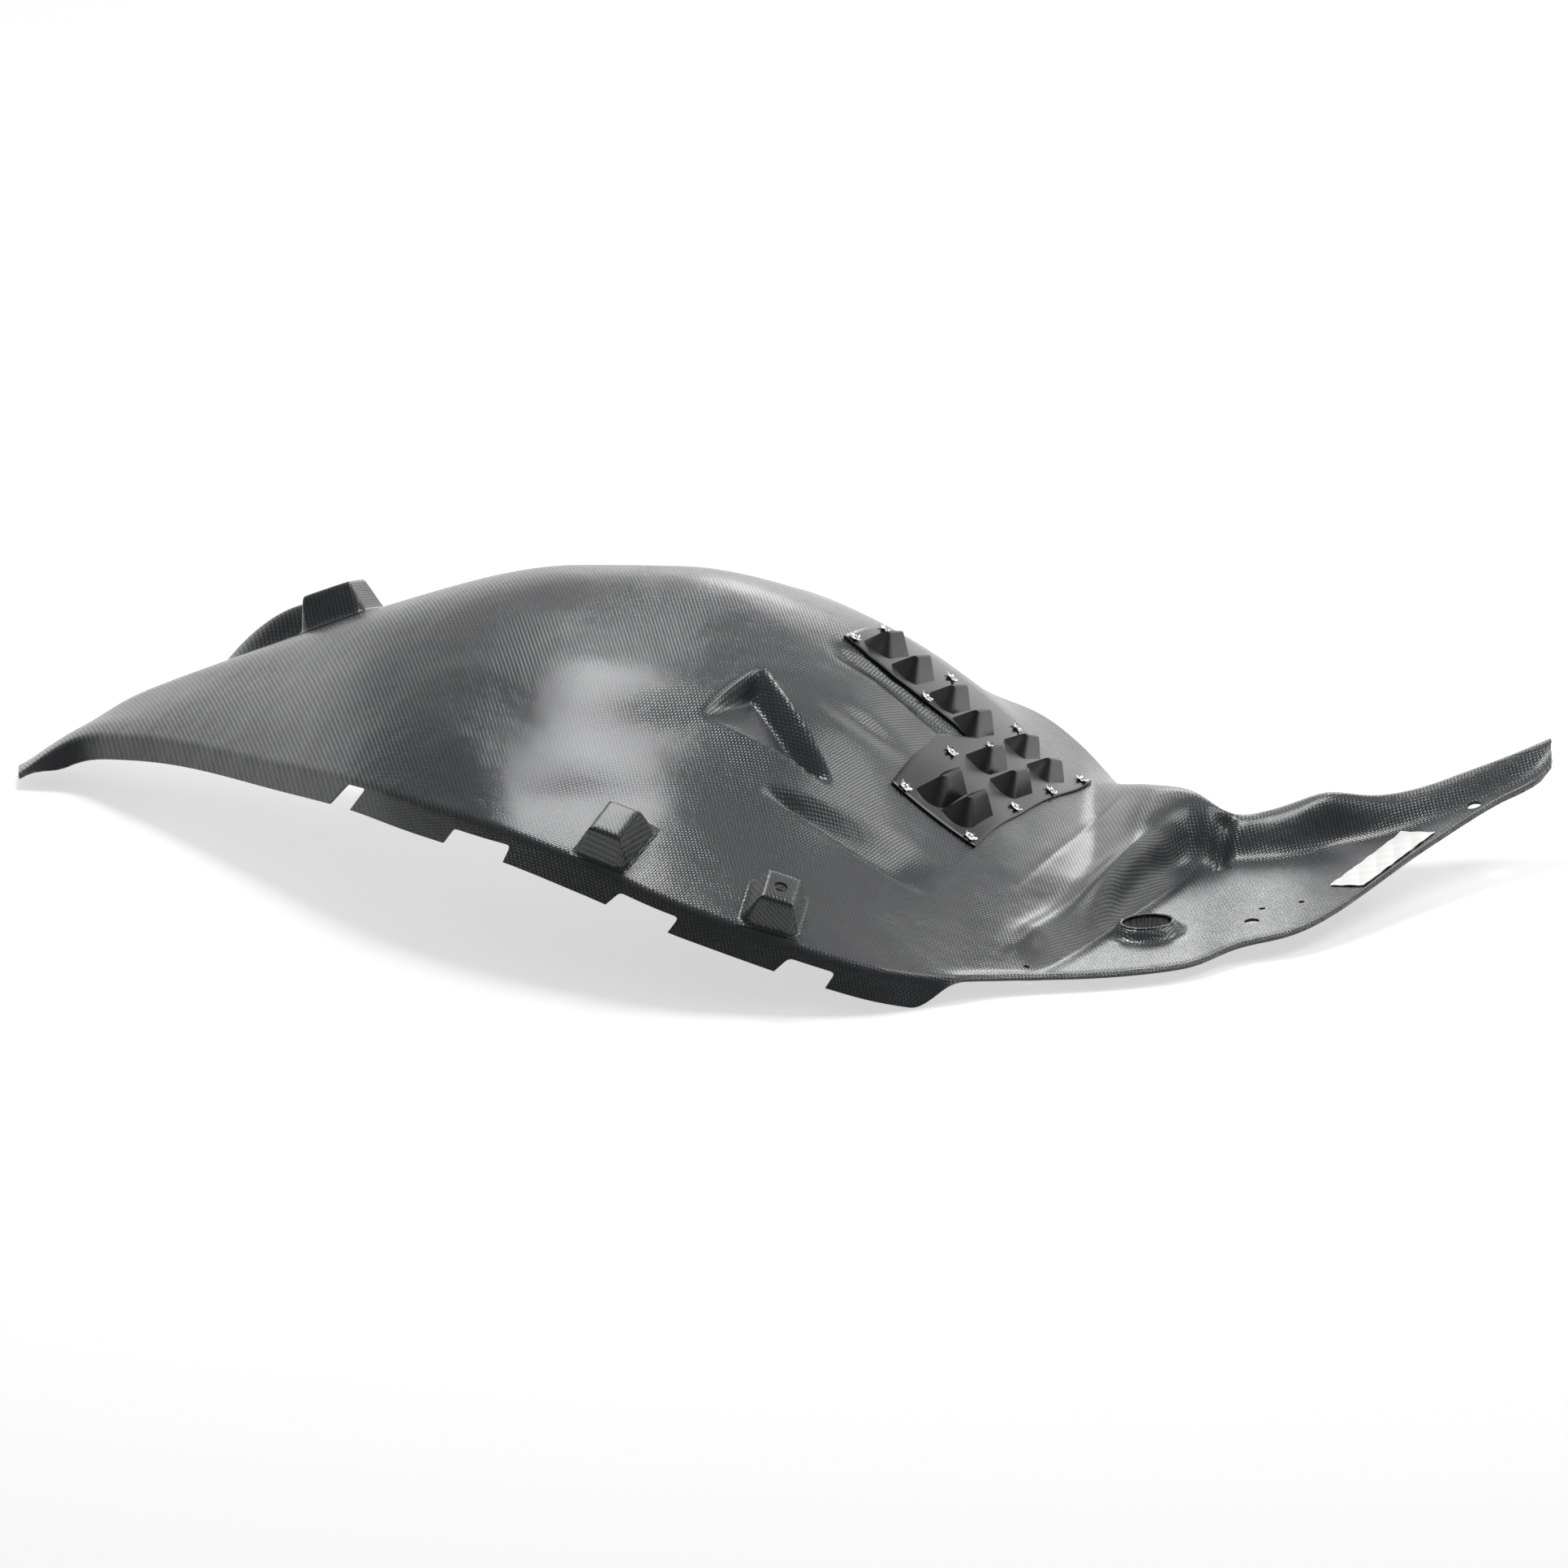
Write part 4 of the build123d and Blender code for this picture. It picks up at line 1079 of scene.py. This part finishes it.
class ARCHLINER_OT_rivets(bpy.types.Operator):
    """Build the peel rivets with their spread petals"""

    bl_idname = "arch_liner.rivets"
    bl_label = "Peel Rivets"

    def execute(self, context):
        opts = settings("vent")
        bm = bmesh.new()
        for x, y in RIVETS_AT:
            seat = frame_at(x, y, RIVET_TURN * x, base_z)
            self.add_rivet(bm, seat, opts.petals, opts.petal_reach / MM)
        rivets = new_object("peel_rivets", bm)
        smooth(rivets, 35)
        rivets.data.materials.append(rivet_material())
        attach(rivets, "root")
        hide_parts("vent_rivets")
        return {"FINISHED"}

    def add_rivet(self, bm, seat, petals, reach):
        """One rivet: head below, hollow stub and curled petals above."""
        over = 2 * SEAT_GAP + PLATE_T
        under = -SHEET_T - SEAT_GAP
        profile = [(r, under + z) for r, z in RIVET_HEAD] + [(r, over + z) for r, z in RIVET_STUB]
        rings = []
        for r, z in profile:
            rings.append([bm.verts.new(seat @ p) for p in ellipse(r, r, RIVET_SIDES, z)])
        bridge(bm, rings, closed=True)
        bm.faces.new(rings[0][::-1])
        bm.faces.new(rings[-1])
        for k in range(petals):
            turn = Matrix.Rotation(2 * math.pi * k / petals, 4, "Z")
            self.add_petal(bm, seat @ turn, over, reach)

    def add_petal(self, bm, place, over, reach):
        """Curled strip that tapers to a blunt point."""
        rows = []
        for t in np.linspace(0, 1, PETAL_ROWS):
            r = PETAL_ROOT + (reach - PETAL_ROOT) * t
            half = (PETAL_HALF_W + PETAL_SWELL * math.sin(math.pi * t)) * (1 - PETAL_TAPER * t ** 4)
            dip = PETAL_DIP * math.sin(math.pi * min(1.0, 1.1 * t))
            lift = over + PETAL_LIFT - dip + PETAL_CURL * t * t
            rows.append([
                (bm.verts.new(place @ Vector((r, s * half, lift + PETAL_HOLLOW * s * s))),
                 bm.verts.new(place @ Vector((r, s * half, lift + PETAL_HOLLOW * s * s - PETAL_T))))
                for s in PETAL_LINES
            ])
        for low, high in zip(rows, rows[1:]):
            for j in range(3):
                bm.faces.new((low[j][0], high[j][0], high[j + 1][0], low[j + 1][0]))
                bm.faces.new((low[j + 1][1], high[j + 1][1], high[j][1], low[j][1]))
            bm.faces.new((low[0][1], high[0][1], high[0][0], low[0][0]))
            bm.faces.new((low[3][0], high[3][0], high[3][1], low[3][1]))
        tip = rows[-1]
        for j in range(3):
            bm.faces.new((tip[j][0], tip[j][1], tip[j + 1][1], tip[j + 1][0]))


class ARCHLINER_OT_label(bpy.types.Operator):
    """Build the blank creased label on the tray floor"""

    bl_idname = "arch_liner.label"
    bl_label = "Blank Label"

    def execute(self, context):
        wrinkle = settings("label").wrinkle / MM
        turn = math.radians(LABEL_TURN)
        bm = bmesh.new()
        rows = []
        for b in np.linspace(-LABEL_W / 2, LABEL_W / 2, LABEL_LINES[1]):
            row = []
            for a in np.linspace(-LABEL_L / 2, LABEL_L / 2, LABEL_LINES[0]):
                x = LABEL_AT[0] + a * math.cos(turn) - b * math.sin(turn)
                y = LABEL_AT[1] + a * math.sin(turn) + b * math.cos(turn)
                crease = abs(math.sin(0.21 * a + 0.06 * b)) + abs(math.sin(0.13 * a - 0.19 * b + 1.1))
                row.append(bm.verts.new((x, y, float(skin_z(x, y)) + LABEL_LIFT + wrinkle * crease)))
            rows.append(row)
        bridge(bm, rows)
        label = new_object("creased_label", bm)
        add_wall(label, LABEL_FILM * MM)
        bake(label)
        smooth(label, 40)
        label.data.materials.append(label_material())
        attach(label, "root")
        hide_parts("blank_label")
        return {"FINISHED"}


class ARCHLINER_OT_stage(bpy.types.Operator):
    """Set the floor, the soft light and the camera"""

    bl_idname = "arch_liner.stage"
    bl_label = "Stage"

    def execute(self, context):
        scene = context.scene
        scene.view_settings.view_transform = "Standard"
        self.add_floor()
        self.add_sky(scene)
        opts = settings("stage")
        self.add_lamp("overhead softbox", opts.key_power, (0.9, 0.8), (-0.24, 0.62, 2.0), (-0.1, 0.0, 0.1))
        self.add_lamp("back softbox", opts.back_power, (0.8, 0.7), (0.5, 2.6, 1.2), (0.42, 0.0, 0.05))
        self.add_lamp("side softbox", opts.side_power, (1.1, 1.1), (1.6, 0.4, 1.7), (0.1, 0.0, 0.1))
        self.add_camera(scene)
        return {"FINISHED"}

    def add_floor(self):
        """Pale floor, lifted to white only for the rays that show it."""
        bm = bmesh.new()
        bmesh.ops.create_grid(bm, x_segments=1, y_segments=1, size=FLOOR_REACH)
        mesh = bpy.data.meshes.new("floor")
        bm.to_mesh(mesh)
        bm.free()
        floor = bpy.data.objects.new("floor", mesh)
        floor.location.z = CAD_BOX[0][2] - FLOOR_GAP
        bpy.context.scene.collection.objects.link(floor)
        opts = settings("stage")
        mat, tree, shader = new_material("pale floor")
        shader.inputs["Base Color"].default_value = (*opts.floor_colour, 1)
        shader.inputs["Roughness"].default_value = 0.9
        shader.inputs["Emission Color"].default_value = (1, 1, 1, 1)
        lift = math_node(tree, "MULTIPLY", self.shown(tree), opts.floor_lift)
        tree.links.new(lift, shader.inputs["Emission Strength"])
        mesh.materials.append(mat)

    def shown(self, tree):
        """One for camera, glossy and transmission rays."""
        path = node(tree, "ShaderNodeLightPath")
        seen = math_node(tree, "MAXIMUM", path.outputs["Is Camera Ray"], path.outputs["Is Glossy Ray"])
        return math_node(tree, "MAXIMUM", seen, path.outputs["Is Transmission Ray"])

    def add_sky(self, scene):
        """Studio walls: bright behind the liner, dim overhead, dark in front of it, pale at the horizon."""
        opts = settings("stage")
        world = bpy.data.worlds.new("studio walls")
        world.use_nodes = True
        scene.world = world
        tree = world.node_tree
        light = tree.nodes["Background"]
        place = node(tree, "ShaderNodeTexCoord")
        parts = node(tree, "ShaderNodeSeparateXYZ")
        tree.links.new(place.outputs["Generated"], parts.inputs["Vector"])
        y, z = parts.outputs["Y"], parts.outputs["Z"]
        low = math_node(tree, "MULTIPLY", self.rise(tree, y, 0.0, 0.6), self.rise(tree, z, 0.75, 0.3))
        back = math_node(tree, "MULTIPLY", low, opts.back_level)
        top = math_node(tree, "MULTIPLY", self.rise(tree, z, 0.2, 0.8), opts.top_level)
        level = math_node(tree, "ADD", math_node(tree, "MAXIMUM", back, top), opts.front_level)
        band = self.rise(tree, z, 0.06, 0.0)
        tree.links.new(math_node(tree, "MAXIMUM", level, band), light.inputs["Strength"])
        light.inputs["Color"].default_value = (1, 1, 1, 1)

    def rise(self, tree, value, start, end):
        """Smooth step from 0 to 1 as the value goes from start to end."""
        made = node(tree, "ShaderNodeMapRange", interpolation_type="SMOOTHSTEP")
        made.inputs["From Min"].default_value = start
        made.inputs["From Max"].default_value = end
        tree.links.new(value, made.inputs["Value"])
        return made.outputs["Result"]

    def add_lamp(self, name, power, size, place, aim):
        """Oval softbox at a place, turned towards its aim, in metres."""
        lamp = bpy.data.lights.new(name, "AREA")
        lamp.energy = power
        lamp.shape = "ELLIPSE"
        lamp.size, lamp.size_y = size
        box = bpy.data.objects.new(name, lamp)
        box.location = place
        box.rotation_euler = (Vector(aim) - Vector(place)).to_track_quat("-Z", "Y").to_euler()
        bpy.context.scene.collection.objects.link(box)

    def add_camera(self, scene):
        camera = bpy.data.cameras.new("camera")
        camera.type = "ORTHO"
        camera.ortho_scale = VIEW_WIDTH
        camera.clip_end = VIEW_DEPTH
        rig = bpy.data.objects.new("camera", camera)
        rise = math.radians(VIEW_ELEVATION)
        look = Vector((0, math.cos(rise), -math.sin(rise)))
        rig.location = Vector(VIEW_AIM) - look * VIEW_DISTANCE
        rig.rotation_euler = look.to_track_quat("-Z", "Y").to_euler()
        scene.collection.objects.link(rig)
        scene.camera = rig


class ARCHLINER_PT_panel(bpy.types.Panel):
    """Sidebar list of the liner's pieces"""

    bl_idname = "ARCHLINER_PT_panel"
    bl_label = "Arch Liner"
    bl_space_type = "VIEW_3D"
    bl_region_type = "UI"
    bl_category = "Arch Liner"

    def draw(self, context):
        for name in ("sheet", "vent", "label", "stage"):
            box = self.layout.box()
            group = getattr(context.scene, "arch_liner_" + name)
            for key in group.__annotations__:
                box.prop(group, key)
        for operator in STEPS:
            self.layout.operator(operator.bl_idname)


GROUPS = {"sheet": SheetSettings, "vent": VentSettings, "label": LabelSettings, "stage": StageSettings}
STEPS = [
    ARCHLINER_OT_sheet, ARCHLINER_OT_bosses, ARCHLINER_OT_port, ARCHLINER_OT_vent, ARCHLINER_OT_rivets,
    ARCHLINER_OT_label, ARCHLINER_OT_stage,
]


def register():
    for cls in (*GROUPS.values(), *STEPS, ARCHLINER_PT_panel):
        bpy.utils.register_class(cls)
    for name, group in GROUPS.items():
        setattr(bpy.types.Scene, "arch_liner_" + name, bpy.props.PointerProperty(type=group))


def unregister():
    for name in GROUPS:
        delattr(bpy.types.Scene, "arch_liner_" + name)
    for cls in (ARCHLINER_PT_panel, *STEPS[::-1], *list(GROUPS.values())[::-1]):
        bpy.utils.unregister_class(cls)


def main():
    register()
    for operator in STEPS:
        group, name = operator.bl_idname.split(".")
        getattr(getattr(bpy.ops, group), name)()


if __name__ == "__main__":
    main()
